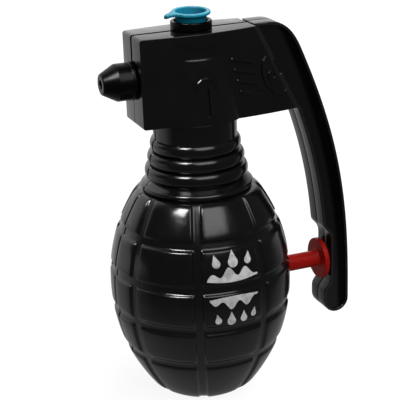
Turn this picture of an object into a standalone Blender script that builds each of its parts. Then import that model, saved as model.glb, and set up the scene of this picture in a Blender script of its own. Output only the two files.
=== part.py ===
"""Toy water squirter in the shape of a hand grenade: two moulded halves, a squeeze lever and a piston pump.

Metres, +Z up, with the base on z = 0. The nozzle points to -X, the squeeze lever is on +X, and the two halves
of the casing part on y = 0.
"""
import math

import bmesh
import bpy
from mathutils import Matrix, Vector
from mathutils.geometry import interpolate_bezier

# Clearances
GAP = 0.0003
SEAM_GAP = 0.0003
OVERSHOOT = 0.001
WELD = 0.000004

# Body: an egg whose sides fall away from its belt, covered by a grid of raised panels
BODY_RADIUS = 0.0255
BELT_HEIGHT = 0.035
LOWER_REACH = 0.0465
UPPER_REACH = 0.0451
LOWER_POWER = 2.2
UPPER_POWER = 2.15
BASE_EDGE = 0.0045
BASE_SETBACK = 0.0036
BASE_POWER = 1.55
PANEL_TOP = 0.0619
PANEL_EDGE = 0.0009
PANEL_COLUMNS = 8
ROW_GROOVES = 4
LOWEST_GROOVE = 0.017
GROOVE_PITCH = 0.01167
GROOVE_WIDTH = 0.003
GROOVE_FLOOR = 0.0015
GROOVE_DEPTH = 0.0007
SHELL_WALL = 0.00185
FLOOR_THICKNESS = 0.0024

# Neck: a collar, three swollen rings and a plain cylinder
COLLAR_RADIUS = 0.01564
COLLAR_RISE = 0.0012
COLLAR_HALF_HEIGHT = 0.00085
COLLAR_SWELL = 0.0009
RING_COUNT = 3
RING_RADIUS = 0.01431
RING_STEP = 0.00088
RING_RISE = 0.0052
RING_PITCH = 0.0038
RING_SWELL = 0.00115
NECK_RADIUS = 0.01155
NECK_BORE = 0.0092
NECK_LENGTH = 0.0066

# Head: a flat box with a slanted back and a conical swelling above the neck
HEAD_FRONT = 0.01685
HEAD_REAR = 0.02814
HEAD_SLOPE = 0.4894309
HEAD_HEIGHT = 0.0246
HEAD_HALF = 0.00673
HEAD_WALL = 0.00185
HEAD_EDGE = 0.00055
FLARE_DROP = 0.0063
FLARE_TOP_RADIUS = 0.00767
FLARE_BOTTOM_RADIUS = 0.011
FLARE_EDGE = 0.0003

# Raised and sunk mouldings on the sides of the head
RELIEF_HEIGHT = 0.0004
OVAL_LONG = 0.0062
OVAL_SHORT = 0.004
OVAL_LINE = 0.0007
EYE_RADIUS = 0.0014
EYE_LINE = 0.00055
RIB_COUNT = 4
RIB_LENGTH = 0.0058
RIB_DROP = 0.0014
RIB_RADIUS = 0.0005
RIB_PITCH = 0.00305
RIB_SHIFT = 0.00075
RIB_SETBACK = 0.0109
RIB_TOP_DROP = 0.0077
PAD_LONG = 0.0084
PAD_SHORT = 0.0039
PAD_HEIGHT = 0.00025
ARCH_RISE = 0.0101
ARCH_RADIUS = 0.0033
ARCH_LINE = 0.00075
SLOT_RISE = 0.0033
SLOT_LENGTH = 0.0066
SLOT_RADIUS = 0.0006
SLOT_DEPTH = 0.0005

# Lever: two thin-walled halves on a cross pin in a pocket in the back of the head
LEVER_HALF = 0.0043
LEVER_WALL = 0.0014
LEVER_RIM = 0.0009
LEVER_SINK = 0.0006
LEVER_EDGE = 0.00035
LEVER_DEPTH = 0.0074
LEVER_GAP = 0.00045
LEVER_REACH = 0.0453
LEVER_DROP = 0.01685
LEVER_STRAIGHT = 0.0046
LEVER_CREST = 0.00025
LEVER_CROWN = 0.0037
SHOULDER_BACK = 0.0024
SHOULDER_DROP = 0.0077
SHOULDER_SLOPE = 2.29
SHOULDER_HANDLE = 0.027
CROWN_HANDLE = 0.0048
FOOT_HANDLE = 0.0305
RECESS_WALL = 0.0049
RECESS_ABOVE = 0.00835
RECESS_BELOW = 0.0083
RECESS_RAMP = 0.0028
RECESS_LIP = 0.0023
PIVOT_DROP = 0.0138
PIVOT_INSET = 0.00246
PIN_RADIUS = 0.00125
PIN_COVER = 0.00075
LUG_RADIUS = 0.0034
POCKET_DEPTH = 0.0075
POCKET_PLAY = 0.00045

# Pump, on a level axis near the belt of the body
PUMP_Z = 0.03305
ROD_RADIUS = 0.0024
ROD_FILLET = 0.0004
SPIGOT_RADIUS = 0.0012
FLANGE_RADIUS = 0.00575
FLANGE_THICKNESS = 0.0015
FLANGE_EDGE = 0.0003
DOME_HEIGHT = 0.0017
DOME_RADIUS = 0.003
BORE_RADIUS = 0.0046
BARREL_WALL = 0.0014
BARREL_END_WALL = 0.0024
PISTON_LENGTH = 0.0038
PISTON_PLAY = 0.0004
PISTON_GROOVE = 0.00125
REST_GAP = 0.0012
SEAL_SIDE_PLAY = 0.0003
GLAND_DEPTH = 0.0022
GLAND_WALL = 0.00035
GLAND_FLANGE = 0.0007
GLAND_LIP = 0.001
NOSE_WALL = 0.0009
NOSE_SETBACK = 0.0008
SEAL_SEAT = 0.0016
SADDLE_THICKNESS = 0.0016
SADDLE_HALF_HEIGHT = 0.0035
SADDLE_INSET = 0.0075
SADDLE_ROOT = 0.0013

# Valve tower across the front end of the barrel
TOWER_SETBACK = 0.01
TOWER_WALL = 0.0014
TOWER_FOOT = 0.0068
TOWER_HEAD = 0.0028
BALL_RADIUS = 0.002
BALL_PLAY = 0.0006
BALL_LIFT = 0.0012
BALL_HEADROOM = 0.0005
BALL_REST_GAP = 0.00025
SEAT_RADIUS = 0.0013
SEAT_DROP = 0.00425
WEB_THICKNESS = 0.0017
PORT_RADIUS = 0.0009
PORT_DROP = 0.00145

# Hose, dip tube and the barbs that hold them
BARB_RADIUS = 0.0015
BARB_BORE = 0.0009
BARB_LENGTH = 0.0053
BARB_TAPER = 0.0005
BARB_COLLAR = 0.0014
HOSE_WALL = 0.0005
HOSE_NECK_X = 0.001
HOSE_BEND = 0.0075
HOSE_LEAD = 0.008
HOSE_RISE = 0.018
DIP_TUBE_PLAY = 0.0008

# Return spring
SPRING_WIRE = 0.0004
SPRING_PLAY = 0.0007
SPRING_TURNS = 7
SPRING_POINTS = 10

# Nozzle, on a level axis at the middle of the head's front
NOZZLE_DROP = 0.0121
NOZZLE_RADIUS = 0.00505
NOZZLE_LENGTH = 0.0092
NOZZLE_CONE = 0.0041
NOZZLE_TIP_RADIUS = 0.0028
NOZZLE_EDGE = 0.0003
NOZZLE_FOOT = 0.0008
NOZZLE_FOOT_STEP = 0.0002
STEM_RADIUS = 0.0031
NOZZLE_COLLAR = 0.0012
COLLAR_LIP = 0.0014
JET_RADIUS = 0.00115
JET_DEPTH = 0.0016
WASHER_THICKNESS = 0.0008
WASHER_WIDTH = 0.0012

# Filler spout and its plug, on the body's axis
SPOUT_RADIUS = 0.0054
SPOUT_HEIGHT = 0.0024
SPOUT_EDGE = 0.0005
SPOUT_STEM = 0.0047
SPOUT_DEPTH = 0.006
SPOUT_MOUTH = 0.0046
SPOUT_BORE = 0.00375
SPOUT_TAPER = 0.0041
PLUG_RADIUS = 0.0053
PLUG_FLANGE = 0.00115
PLUG_EDGE = 0.00025
PLUG_STAND = 0.00155
PLUG_TAB_REACH = 0.0075
PLUG_TAB_TIP = 0.00085
PLUG_WALL = 0.0008
PLUG_FLOOR = 0.001
PLUG_CHAMFER = 0.0003

# Number of flats round a turned piece
SIDES = 24
FINE_SIDES = 28
SMALL_SIDES = 16
HOLLOW_SIDES = 24
FLARE_SIDES = 36
PANEL_STATIONS = 3
BASE_STATIONS = 3
ROW_STATIONS = 2
SMOOTH_ANGLE = math.radians(35)
FLAT_ANGLE = math.radians(0.2)

# Heights and places that follow from the sizes above
HEAD_BOTTOM = PANEL_TOP + RING_RISE + (RING_COUNT - 1) * RING_PITCH + NECK_LENGTH
HEAD_TOP = HEAD_BOTTOM + HEAD_HEIGHT
PIVOT_Z = HEAD_TOP - PIVOT_DROP
PIVOT_X = HEAD_REAR - HEAD_SLOPE * (PIVOT_Z - HEAD_BOTTOM) - PIVOT_INSET
NOZZLE_Z = HEAD_TOP - NOZZLE_DROP
POCKET_HALF = LEVER_HALF + POCKET_PLAY
SHELL_DEPTH = GROOVE_DEPTH + SHELL_WALL
BARREL_RADIUS = BORE_RADIUS + BARREL_WALL
GLAND_RADIUS = BORE_RADIUS + GLAND_LIP
TOWER_X = -TOWER_SETBACK
TOWER_BORE = BALL_RADIUS + BALL_PLAY
TOWER_RADIUS = TOWER_BORE + TOWER_WALL
BARREL_BACK_OF_TOWER = TOWER_X + TOWER_RADIUS + BARREL_END_WALL
BALL_SEAT_LIFT = math.sqrt(BALL_RADIUS**2 - SEAT_RADIUS**2) + BALL_REST_GAP
BALL_CHAMBER = BALL_SEAT_LIFT + BALL_RADIUS + BALL_LIFT + BALL_HEADROOM
INLET_SEAT = PUMP_Z - SEAT_DROP
WEB_BOTTOM = INLET_SEAT + BALL_CHAMBER
OUTLET_SEAT = WEB_BOTTOM + WEB_THICKNESS
OUTLET_STOP = OUTLET_SEAT + BALL_CHAMBER
TOWER_BOTTOM = INLET_SEAT - TOWER_FOOT
TOWER_TOP = OUTLET_STOP + TOWER_HEAD
HOSE_BORE = BARB_RADIUS + GAP
HOSE_RADIUS = HOSE_BORE + HOSE_WALL
RECESS_FLOOR = LEVER_REACH - RECESS_WALL
DOME_TIP = RECESS_FLOOR - GAP
FLANGE_BACK = DOME_TIP - DOME_HEIGHT
FLANGE_FRONT = FLANGE_BACK - FLANGE_THICKNESS
SPOUT_TOP = HEAD_TOP + SPOUT_HEIGHT
PLUG_UNDER = SPOUT_TOP + PLUG_STAND
PLUG_TOP = PLUG_UNDER + PLUG_FLANGE
WALL_INSIDE = -HEAD_FRONT + HEAD_WALL
NOZZLE_COLLAR_FRONT = WALL_INSIDE + GAP + WASHER_THICKNESS + GAP
NOZZLE_COLLAR_BACK = NOZZLE_COLLAR_FRONT + NOZZLE_COLLAR

BLACK = (0.012, 0.012, 0.013, 1.0)
RED = (0.32, 0.012, 0.008, 1.0)
BLUE = (0.02, 0.29, 0.46, 1.0)
WHITE = (0.75, 0.75, 0.72, 1.0)
STEEL = (0.55, 0.55, 0.57, 1.0)
RUBBER = (0.03, 0.03, 0.03, 1.0)
CLEAR = (0.6, 0.65, 0.62, 1.0)

ORIGIN = Vector((0.0, 0.0, 0.0))
PUMP_AXIS = Vector((0.0, 0.0, PUMP_Z))
PIN_AXIS = Vector((PIVOT_X, 0.0, PIVOT_Z))
NOZZLE_AXIS = Vector((0.0, 0.0, NOZZLE_Z))
TOWER_AXIS = Vector((TOWER_X, 0.0, 0.0))
WIDE = 2 * BODY_RADIUS
AXIS_TURNS = {
    "X": Matrix.Rotation(math.pi / 2, 4, "Y"),
    "Y": Matrix.Rotation(-math.pi / 2, 4, "X"),
    "Z": Matrix.Identity(4),
}
SIDE_VIEW = Matrix.Rotation(math.pi / 2, 4, "X")


def clear_scene():
    for existing in list(bpy.data.objects):
        bpy.data.objects.remove(existing, do_unlink=True)


def stand(data, place):
    """A working object from a mesh or curve, at a placing matrix."""
    shape = bpy.data.objects.new("shape", data)
    bpy.context.scene.collection.objects.link(shape)
    shape.matrix_world = place
    return shape


def solid_of(shape):
    """Works an object's modifiers and placing into a welded mesh with outward faces."""
    graph = bpy.context.evaluated_depsgraph_get()
    ready = shape.evaluated_get(graph)
    mesh = bpy.data.meshes.new_from_object(ready)
    mesh.transform(ready.matrix_world)
    bm = bmesh.new()
    bm.from_mesh(mesh)
    bmesh.ops.remove_doubles(bm, verts=bm.verts, dist=WELD)
    bmesh.ops.recalc_face_normals(bm, faces=bm.faces)
    bm.to_mesh(mesh)
    bm.free()
    bpy.data.objects.remove(shape, do_unlink=True)
    return stand(mesh, Matrix.Identity(4))


def turned(profile, axis="Z", centre=ORIGIN, sides=SIDES, hollow=False):
    """Turns (radius, height) pairs about an axis. A hollow profile is a closed outline clear of the axis."""
    points = [(radius, 0.0, height) for radius, height in profile]
    if not hollow:
        points = [(0.0, 0.0, points[0][2])] + points + [(0.0, 0.0, points[-1][2])]
    edges = [(i, i + 1) for i in range(len(points) - 1)]
    if hollow:
        edges.append((len(points) - 1, 0))
    mesh = bpy.data.meshes.new("profile")
    mesh.from_pydata(points, edges, [])
    shape = stand(mesh, Matrix.Translation(centre) @ AXIS_TURNS[axis])
    spin = shape.modifiers.new("spin", "SCREW")
    spin.steps = sides
    spin.render_steps = sides
    spin.use_merge_vertices = True
    spin.merge_threshold = WELD
    return solid_of(shape)


def cylinder(axis, centre, radius, start, end, sides=SIDES):
    bpy.ops.mesh.primitive_cylinder_add(vertices=sides, radius=radius, depth=end - start)
    shape = bpy.context.object
    middle = Matrix.Translation((0.0, 0.0, (start + end) / 2))
    shape.matrix_world = Matrix.Translation(centre) @ AXIS_TURNS[axis] @ middle
    return solid_of(shape)


def block(low, high):
    """A box between two corners."""
    bpy.ops.mesh.primitive_cube_add(size=1.0)
    shape = bpy.context.object
    size = Vector(high) - Vector(low)
    middle = (Vector(high) + Vector(low)) / 2
    shape.matrix_world = Matrix.Translation(middle) @ Matrix.Diagonal((*size, 1.0))
    return solid_of(shape)


def flat_solid(outlines, half, edge=0.0, place=SIDE_VIEW):
    """A flat piece from an outline and any holes in it, in side view unless placed otherwise."""
    curve = bpy.data.curves.new("outline", "CURVE")
    curve.dimensions = "2D"
    curve.fill_mode = "BOTH"
    curve.extrude = half - edge
    curve.bevel_depth = edge
    curve.bevel_resolution = 0
    curve.offset = -edge
    for outline in outlines:
        spline = curve.splines.new("POLY")
        spline.points.add(len(outline) - 1)
        for point, (u, v) in zip(spline.points, outline):
            point.co = (u, v, 0.0, 1.0)
        spline.use_cyclic_u = True
    flat = solid_of(stand(curve, place))
    bm = bmesh.new()
    bm.from_mesh(flat.data)
    bmesh.ops.dissolve_limit(bm, angle_limit=FLAT_ANGLE, verts=bm.verts, edges=bm.edges)
    bm.to_mesh(flat.data)
    bm.free()
    return flat


def tube(points, radius, resolution):
    """A round bar along a line of points."""
    curve = bpy.data.curves.new("route", "CURVE")
    curve.dimensions = "3D"
    curve.bevel_depth = radius
    curve.bevel_resolution = resolution
    curve.use_fill_caps = True
    spline = curve.splines.new("POLY")
    spline.points.add(len(points) - 1)
    for point, place in zip(spline.points, points):
        point.co = (*place, 1.0)
    return solid_of(stand(curve, Matrix.Identity(4)))


def ball(centre):
    bpy.ops.mesh.primitive_uv_sphere_add(segments=12, ring_count=8, radius=BALL_RADIUS, location=centre)
    return solid_of(bpy.context.object)


def seal(inside, outside, x):
    """A round rubber ring on the pump's axis, between an inner and an outer radius."""
    bpy.ops.mesh.primitive_torus_add(
        major_segments=SMALL_SIDES,
        minor_segments=6,
        major_radius=(inside + outside) / 2,
        minor_radius=(outside - inside) / 2,
    )
    shape = bpy.context.object
    shape.matrix_world = Matrix.Translation(PUMP_AXIS + Vector((x, 0.0, 0.0))) @ AXIS_TURNS["X"]
    return solid_of(shape)


def combine(target, tool, operation):
    """Applies a boolean to the target and removes the tool."""
    change = target.modifiers.new("boolean", "BOOLEAN")
    change.operation = operation
    change.solver = "MANIFOLD"
    change.object = tool
    graph = bpy.context.evaluated_depsgraph_get()
    result = bpy.data.meshes.new_from_object(target.evaluated_get(graph))
    target.modifiers.clear()
    target.data = result
    bpy.data.objects.remove(tool, do_unlink=True)
    return target


def join(target, *tools):
    for tool in tools:
        combine(target, tool, "UNION")
    return target


def cut(target, *tools):
    for tool in tools:
        combine(target, tool, "DIFFERENCE")
    return target


def keep(target, tool):
    return combine(target, tool, "INTERSECT")


def two_halves(whole):
    """Parts a symmetric solid on y = 0 and gives the half towards -Y and its mirror image towards +Y."""
    low = -WIDE
    high = HEAD_TOP + WIDE
    keep(whole, block((low, low, low), (high, -SEAM_GAP / 2, high)))
    mirrored = whole.data.copy()
    mirrored.transform(Matrix.Scale(-1.0, 4, (0.0, 1.0, 0.0)))
    mirrored.flip_normals()
    return whole, stand(mirrored, Matrix.Identity(4))


def offset_outline(outline, distance):
    """Moves each point of a counter-clockwise outline inwards along its corner's bisector."""
    moved = []
    count = len(outline)
    for i in range(count):
        before = Vector(outline[i - 1])
        corner = Vector(outline[i])
        after = Vector(outline[(i + 1) % count])
        first = (corner - before).normalized()
        second = (after - corner).normalized()
        turn = first.angle(second)
        heading = (first + second).normalized()
        reach = distance / max(math.cos(turn / 2), 0.4)
        moved.append((corner.x - heading.y * reach, corner.y + heading.x * reach))
    return moved


def ellipse(x, z, long, short, lean=0.0, count=SIDES):
    """An oval outline whose long axis is upright, or leans back by an angle."""
    points = []
    for i in range(count):
        angle = 2 * math.pi * i / count
        u = short * math.cos(angle)
        v = long * math.sin(angle)
        points.append((x + u * math.cos(lean) - v * math.sin(lean), z + u * math.sin(lean) + v * math.cos(lean)))
    return points


def arc(x, z, radius, start, end, count):
    """Points along part of a circle, from one angle to another in degrees, ends included."""
    points = []
    for i in range(count + 1):
        angle = math.radians(start + (end - start) * i / count)
        points.append((x + radius * math.cos(angle), z + radius * math.sin(angle)))
    return points


def capsule(x0, z0, x1, z1, radius):
    """A round-ended bar outline from one point to another."""
    heading = math.degrees(math.atan2(z1 - z0, x1 - x0))
    far = arc(x1, z1, radius, heading - 90, heading + 90, 3)
    near = arc(x0, z0, radius, heading + 90, heading + 270, 3)
    return far + near


def body_radius(z):
    """The egg's radius at a height, before grooves are sunk in it. It draws in faster near the base."""
    if z > BELT_HEIGHT:
        return BODY_RADIUS * (1 - ((z - BELT_HEIGHT) / UPPER_REACH) ** UPPER_POWER)
    radius = BODY_RADIUS * (1 - ((BELT_HEIGHT - z) / LOWER_REACH) ** LOWER_POWER)
    if z < BASE_EDGE:
        radius -= BASE_SETBACK * (1 - z / BASE_EDGE) ** BASE_POWER
    return radius


def cavity_radius(z):
    return body_radius(z) - SHELL_DEPTH


def swell(radius, z, height, half_height):
    """Rows of points over one rounded ring of the neck."""
    rows = []
    for degrees in (-75, -25, 25, 75):
        angle = math.radians(degrees)
        rows.append((radius - height + height * math.cos(angle), z + half_height * math.sin(angle), 0.0))
    return rows


def body_rows():
    """(radius, height, depth share of the upright grooves) of each row of points, from the base to the head."""
    rows = []
    for step in range(BASE_STATIONS + 1):
        z = BASE_EDGE * step / BASE_STATIONS
        rows.append((body_radius(z), z, 1.0))
    half = GROOVE_WIDTH / 2
    flat = GROOVE_FLOOR / 2
    low = BASE_EDGE
    for groove in range(ROW_GROOVES + 1):
        middle = LOWEST_GROOVE + GROOVE_PITCH * groove
        high = middle - half if groove < ROW_GROOVES else PANEL_TOP - PANEL_EDGE
        for step in range(1, ROW_STATIONS + 2):
            z = low + (high - low) * step / (ROW_STATIONS + 1)
            rows.append((body_radius(z), z, 1.0))
        if groove < ROW_GROOVES:
            rows.append((body_radius(middle - flat) - GROOVE_DEPTH, middle - flat, 0.0))
            rows.append((body_radius(middle + flat) - GROOVE_DEPTH, middle + flat, 0.0))
            rows.append((body_radius(middle + half), middle + half, 1.0))
        low = middle + half
    rows.append((body_radius(PANEL_TOP) - PANEL_EDGE, PANEL_TOP, 0.3))
    rows.extend(swell(COLLAR_RADIUS, PANEL_TOP + COLLAR_RISE, COLLAR_SWELL, COLLAR_HALF_HEIGHT))
    for ring in range(RING_COUNT):
        height = PANEL_TOP + RING_RISE + RING_PITCH * ring
        rows.extend(swell(RING_RADIUS - RING_STEP * ring, height, RING_SWELL, RING_PITCH / 2))
    rows.append((NECK_RADIUS, HEAD_BOTTOM - NECK_LENGTH + RING_PITCH / 2 + PANEL_EDGE / 2, 0.0))
    rows.append((NECK_RADIUS, HEAD_BOTTOM + HEAD_EDGE, 0.0))
    return rows


def column_angles(radius):
    """(angle, groove share) of each point round one row. Grooves keep their width whatever the radius."""
    spacing = 2 * math.pi / PANEL_COLUMNS
    edge = GROOVE_WIDTH / 2 / radius
    flat = GROOVE_FLOOR / 2 / radius
    stations = [(-edge, 0.0), (-flat, 1.0), (flat, 1.0), (edge, 0.0)]
    panel = spacing - 2 * edge
    for step in range(1, PANEL_STATIONS + 1):
        stations.append((edge + panel * step / (PANEL_STATIONS + 1), 0.0))
    angles = []
    for column in range(PANEL_COLUMNS):
        middle = spacing * (column + 0.5)
        angles.extend((middle + offset, share) for offset, share in stations)
    return angles


def body_solid():
    """A flat grid wrapped round the axis, with a flat floor and a flat end inside the head."""
    rows = body_rows()
    columns = PANEL_COLUMNS * (4 + PANEL_STATIONS)
    bm = bmesh.new()
    bmesh.ops.create_grid(bm, x_segments=columns, y_segments=len(rows) - 1, size=1.0)
    for vertex in bm.verts:
        column = round((vertex.co.x + 1) / 2 * columns) % columns
        row = round((vertex.co.y + 1) / 2 * (len(rows) - 1))
        radius, z, weight = rows[row]
        angle, share = column_angles(radius)[column]
        radius -= GROOVE_DEPTH * share * weight
        vertex.co = (radius * math.cos(angle), radius * math.sin(angle), z)
    bmesh.ops.remove_doubles(bm, verts=bm.verts, dist=WELD)
    bmesh.ops.holes_fill(bm, edges=[edge for edge in bm.edges if edge.is_boundary])
    mesh = bpy.data.meshes.new("body")
    bm.to_mesh(mesh)
    bm.free()
    return solid_of(stand(mesh, Matrix.Identity(4)))


def rear_x(z):
    """Where the slanted back of the head lies at a height."""
    return HEAD_REAR - HEAD_SLOPE * (z - HEAD_BOTTOM)


def head_block(low, high, front, back_inset, half):
    """A box whose back keeps to the slant of the head."""
    shape = block((front, -half, low), (HEAD_REAR, half, high))
    for vertex in shape.data.vertices:
        if vertex.co.x > front + WELD:
            vertex.co.x = rear_x(vertex.co.z) - back_inset
    return shape


def flare(growth):
    """The conical swelling that carries the neck up through the head, grown by a distance."""
    top = HEAD_TOP - FLARE_DROP
    profile = [
        (FLARE_TOP_RADIUS - FLARE_EDGE + growth, top),
        (FLARE_TOP_RADIUS + growth, top - FLARE_EDGE),
        (FLARE_BOTTOM_RADIUS + growth, HEAD_BOTTOM),
    ]
    return turned(profile, sides=FLARE_SIDES)


def head_relief():
    """Raised mouldings that both sides of the head share."""
    arch_z = HEAD_BOTTOM + ARCH_RISE
    over = arc(0.0, arch_z, ARCH_RADIUS, 0, 180, 10)
    under = arc(0.0, arch_z, ARCH_RADIUS - ARCH_LINE, 180, 0, 10)
    arch = keep(flat_solid([over + under], WIDE), flare(RELIEF_HEIGHT))
    pad_top = HEAD_TOP - HEAD_EDGE / 2
    pad = flat_solid([ellipse(PAD_HEIGHT, HEAD_TOP, PAD_SHORT, PAD_LONG)], HEAD_HALF + PAD_HEIGHT)
    keep(pad, block((-WIDE, -WIDE, HEAD_BOTTOM), (WIDE, WIDE, pad_top)))
    details = [arch, pad]
    raised = HEAD_HALF + RELIEF_HEIGHT
    for row in reversed(range(RIB_COUNT)):
        z = HEAD_TOP - RIB_TOP_DROP - RIB_PITCH * row
        x = rear_x(z) - RIB_SETBACK - (RIB_PITCH * HEAD_SLOPE - RIB_SHIFT) * row
        bar = capsule(x, z, x + RIB_LENGTH, z - RIB_DROP, RIB_RADIUS)
        details.append(flat_solid([bar], raised + PAD_HEIGHT / 2))
    eye_out = arc(PIVOT_X, PIVOT_Z, EYE_RADIUS, 0, 342, 19)
    eye_in = arc(PIVOT_X, PIVOT_Z, EYE_RADIUS - EYE_LINE, 0, 342, 19)
    details.append(flat_solid([eye_out, eye_in], raised - PAD_HEIGHT / 2))
    lean = math.atan(HEAD_SLOPE)
    oval_x = PIVOT_X + RELIEF_HEIGHT * 3
    outer = ellipse(oval_x, PIVOT_Z, OVAL_LONG, OVAL_SHORT, lean)
    inner = ellipse(oval_x, PIVOT_Z, OVAL_LONG - OVAL_LINE, OVAL_SHORT - OVAL_LINE, lean)
    oval = flat_solid([outer, inner], raised)
    details.append(keep(oval, head_block(HEAD_BOTTOM, HEAD_TOP, -HEAD_FRONT, WELD * 5, HEAD_HALF * 2)))
    return details


def barrel_rear():
    """Where the barrel ends, so that the gland's flange just clears the inside of the body."""
    inside = cavity_radius(PUMP_Z) * math.cos(math.pi / HOLLOW_SIDES)
    return math.sqrt(inside**2 - GLAND_RADIUS**2) - GAP - GLAND_FLANGE - GAP


def piston_rear():
    return barrel_rear() - GLAND_DEPTH - REST_GAP


def casing_solid():
    """Both halves of the casing as one hollow, before they are parted."""
    outer = body_solid()
    head = head_block(HEAD_BOTTOM, HEAD_TOP, -HEAD_FRONT, 0.0, HEAD_HALF)
    rounding = head.modifiers.new("rounding", "BEVEL")
    rounding.width = HEAD_EDGE
    rounding.segments = 1
    rounding.limit_method = "NONE"
    join(outer, solid_of(head), flare(0.0), *head_relief())
    slot_low = HEAD_BOTTOM + SLOT_RISE
    slot = flat_solid([capsule(0.0, slot_low, 0.0, slot_low + SLOT_LENGTH, SLOT_RADIUS)], WIDE)
    cut(outer, cut(slot, flare(-SLOT_DEPTH)))

    head_floor = HEAD_BOTTOM + HEAD_WALL
    head_roof = HEAD_TOP - HEAD_WALL
    shoulder = PANEL_TOP - SHELL_DEPTH
    hollow = [(NECK_BORE, head_floor + OVERSHOOT), (NECK_BORE, PANEL_TOP + SHELL_DEPTH)]
    levels = 9
    for level in range(levels):
        z = shoulder + (FLOOR_THICKNESS - shoulder) * level / (levels - 1)
        hollow.append((cavity_radius(z), z))
    inner = turned(hollow, sides=HOLLOW_SIDES)
    bulkhead = POCKET_DEPTH + HEAD_WALL
    chamber = head_block(head_floor, head_roof, -HEAD_FRONT + HEAD_WALL, bulkhead, HEAD_HALF - HEAD_WALL)
    cut(outer, join(inner, chamber))

    low = HEAD_BOTTOM - OVERSHOOT
    pocket = [
        (rear_x(low) - POCKET_DEPTH, low),
        (rear_x(low) + POCKET_DEPTH, low),
        (rear_x(head_roof) + POCKET_DEPTH, head_roof),
        (rear_x(head_roof) - POCKET_DEPTH, head_roof),
    ]
    cut(outer, flat_solid([pocket], POCKET_HALF))
    cut(outer, cylinder("X", NOZZLE_AXIS, STEM_RADIUS + GAP, -HEAD_FRONT - OVERSHOOT, WALL_INSIDE + OVERSHOOT))
    cut(outer, cylinder("Z", ORIGIN, SPOUT_STEM + GAP, head_roof - OVERSHOOT, HEAD_TOP + OVERSHOOT))
    nose_hole = ROD_RADIUS + GAP + NOSE_WALL + GAP
    cut(outer, cylinder("X", PUMP_AXIS, nose_hole, barrel_rear(), BODY_RADIUS + OVERSHOOT))
    pin_reach = HEAD_HALF - PIN_COVER
    cut(outer, cylinder("Y", PIN_AXIS, PIN_RADIUS + GAP, -pin_reach, pin_reach, SMALL_SIDES))

    for x in (BARREL_BACK_OF_TOWER + SADDLE_INSET / 2, barrel_rear() - SADDLE_INSET):
        reach = math.sqrt((body_radius(PUMP_Z) - SADDLE_ROOT) ** 2 - (x + SADDLE_THICKNESS) ** 2)
        low_corner = (x, -reach, PUMP_Z - SADDLE_HALF_HEIGHT)
        saddle = block(low_corner, (x + SADDLE_THICKNESS, reach, PUMP_Z + SADDLE_HALF_HEIGHT))
        seat_end = x + SADDLE_THICKNESS + OVERSHOOT
        cut(saddle, cylinder("X", PUMP_AXIS, BARREL_RADIUS + GAP, x - OVERSHOOT, seat_end))
        join(outer, saddle)
    return outer


def lever_back():
    """Points down the outer side of the lever, from the top front corner to the straight foot."""
    crest = HEAD_TOP + LEVER_CREST
    shoulder = Vector((HEAD_REAR + SHOULDER_BACK, HEAD_TOP - SHOULDER_DROP))
    slope = Vector((1.0, -SHOULDER_SLOPE)).normalized()
    foot = Vector((LEVER_REACH, PUMP_Z - LEVER_DROP + LEVER_DEPTH / 2 + LEVER_STRAIGHT))
    crown = Vector((rear_x(crest) + LEVER_GAP + LEVER_CROWN, crest))
    upper = interpolate_bezier(
        crown,
        crown + Vector((CROWN_HANDLE, 0.0)),
        shoulder - slope * CROWN_HANDLE,
        shoulder,
        7,
    )
    lower = interpolate_bezier(
        shoulder,
        shoulder + slope * SHOULDER_HANDLE,
        foot + Vector((0.0, FOOT_HANDLE)),
        foot,
        14,
    )
    return upper[:-1] + lower


def lever_outline():
    """Side view of the lever, counter-clockwise, with a round lug on the pivot."""
    lean = math.atan(HEAD_SLOPE)
    back = lever_back()
    outline = [(point.x, point.y) for point in reversed(back)]
    top = HEAD_TOP + LEVER_CREST
    outline.append((rear_x(top) + LEVER_GAP, top))
    away = (rear_x(PIVOT_Z) + LEVER_GAP - PIVOT_X) * math.cos(lean)
    foot_z = PIVOT_Z + away * math.sin(lean)
    chord = math.sqrt(LUG_RADIUS**2 - away**2) + LEVER_RIM
    high = foot_z + chord * math.cos(lean)
    low = foot_z - chord * math.cos(lean)
    outline.append((rear_x(high) + LEVER_GAP, high))
    tilt = math.degrees(lean)
    outline.extend(arc(PIVOT_X, PIVOT_Z, LUG_RADIUS, 95 + tilt, 265 + tilt, 10))
    outline.append((rear_x(low) + LEVER_GAP, low))

    recess_top = PUMP_Z + RECESS_ABOVE
    recess_bottom = PUMP_Z - RECESS_BELOW
    ramp_top = recess_top + RECESS_RAMP
    for before, point in zip(back, back[1:]):
        along = (point - before).normalized()
        inner = point + Vector((along.y, -along.x)) * LEVER_DEPTH
        if ramp_top + LEVER_RIM < inner.y < HEAD_BOTTOM - LEVER_GAP:
            outline.append((inner.x, inner.y))
    front = LEVER_REACH - LEVER_DEPTH
    outline.append((outline[-1][0] + (front - outline[-1][0]) / 2, ramp_top))
    outline.append((RECESS_FLOOR, recess_top))
    outline.append((RECESS_FLOOR, recess_bottom))
    outline.append((front, recess_bottom - RECESS_LIP))
    end = LEVER_DEPTH / 2
    outline.extend(arc(front + end, PUMP_Z - LEVER_DROP + end, end, 180, 360, 8))
    return outline


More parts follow.
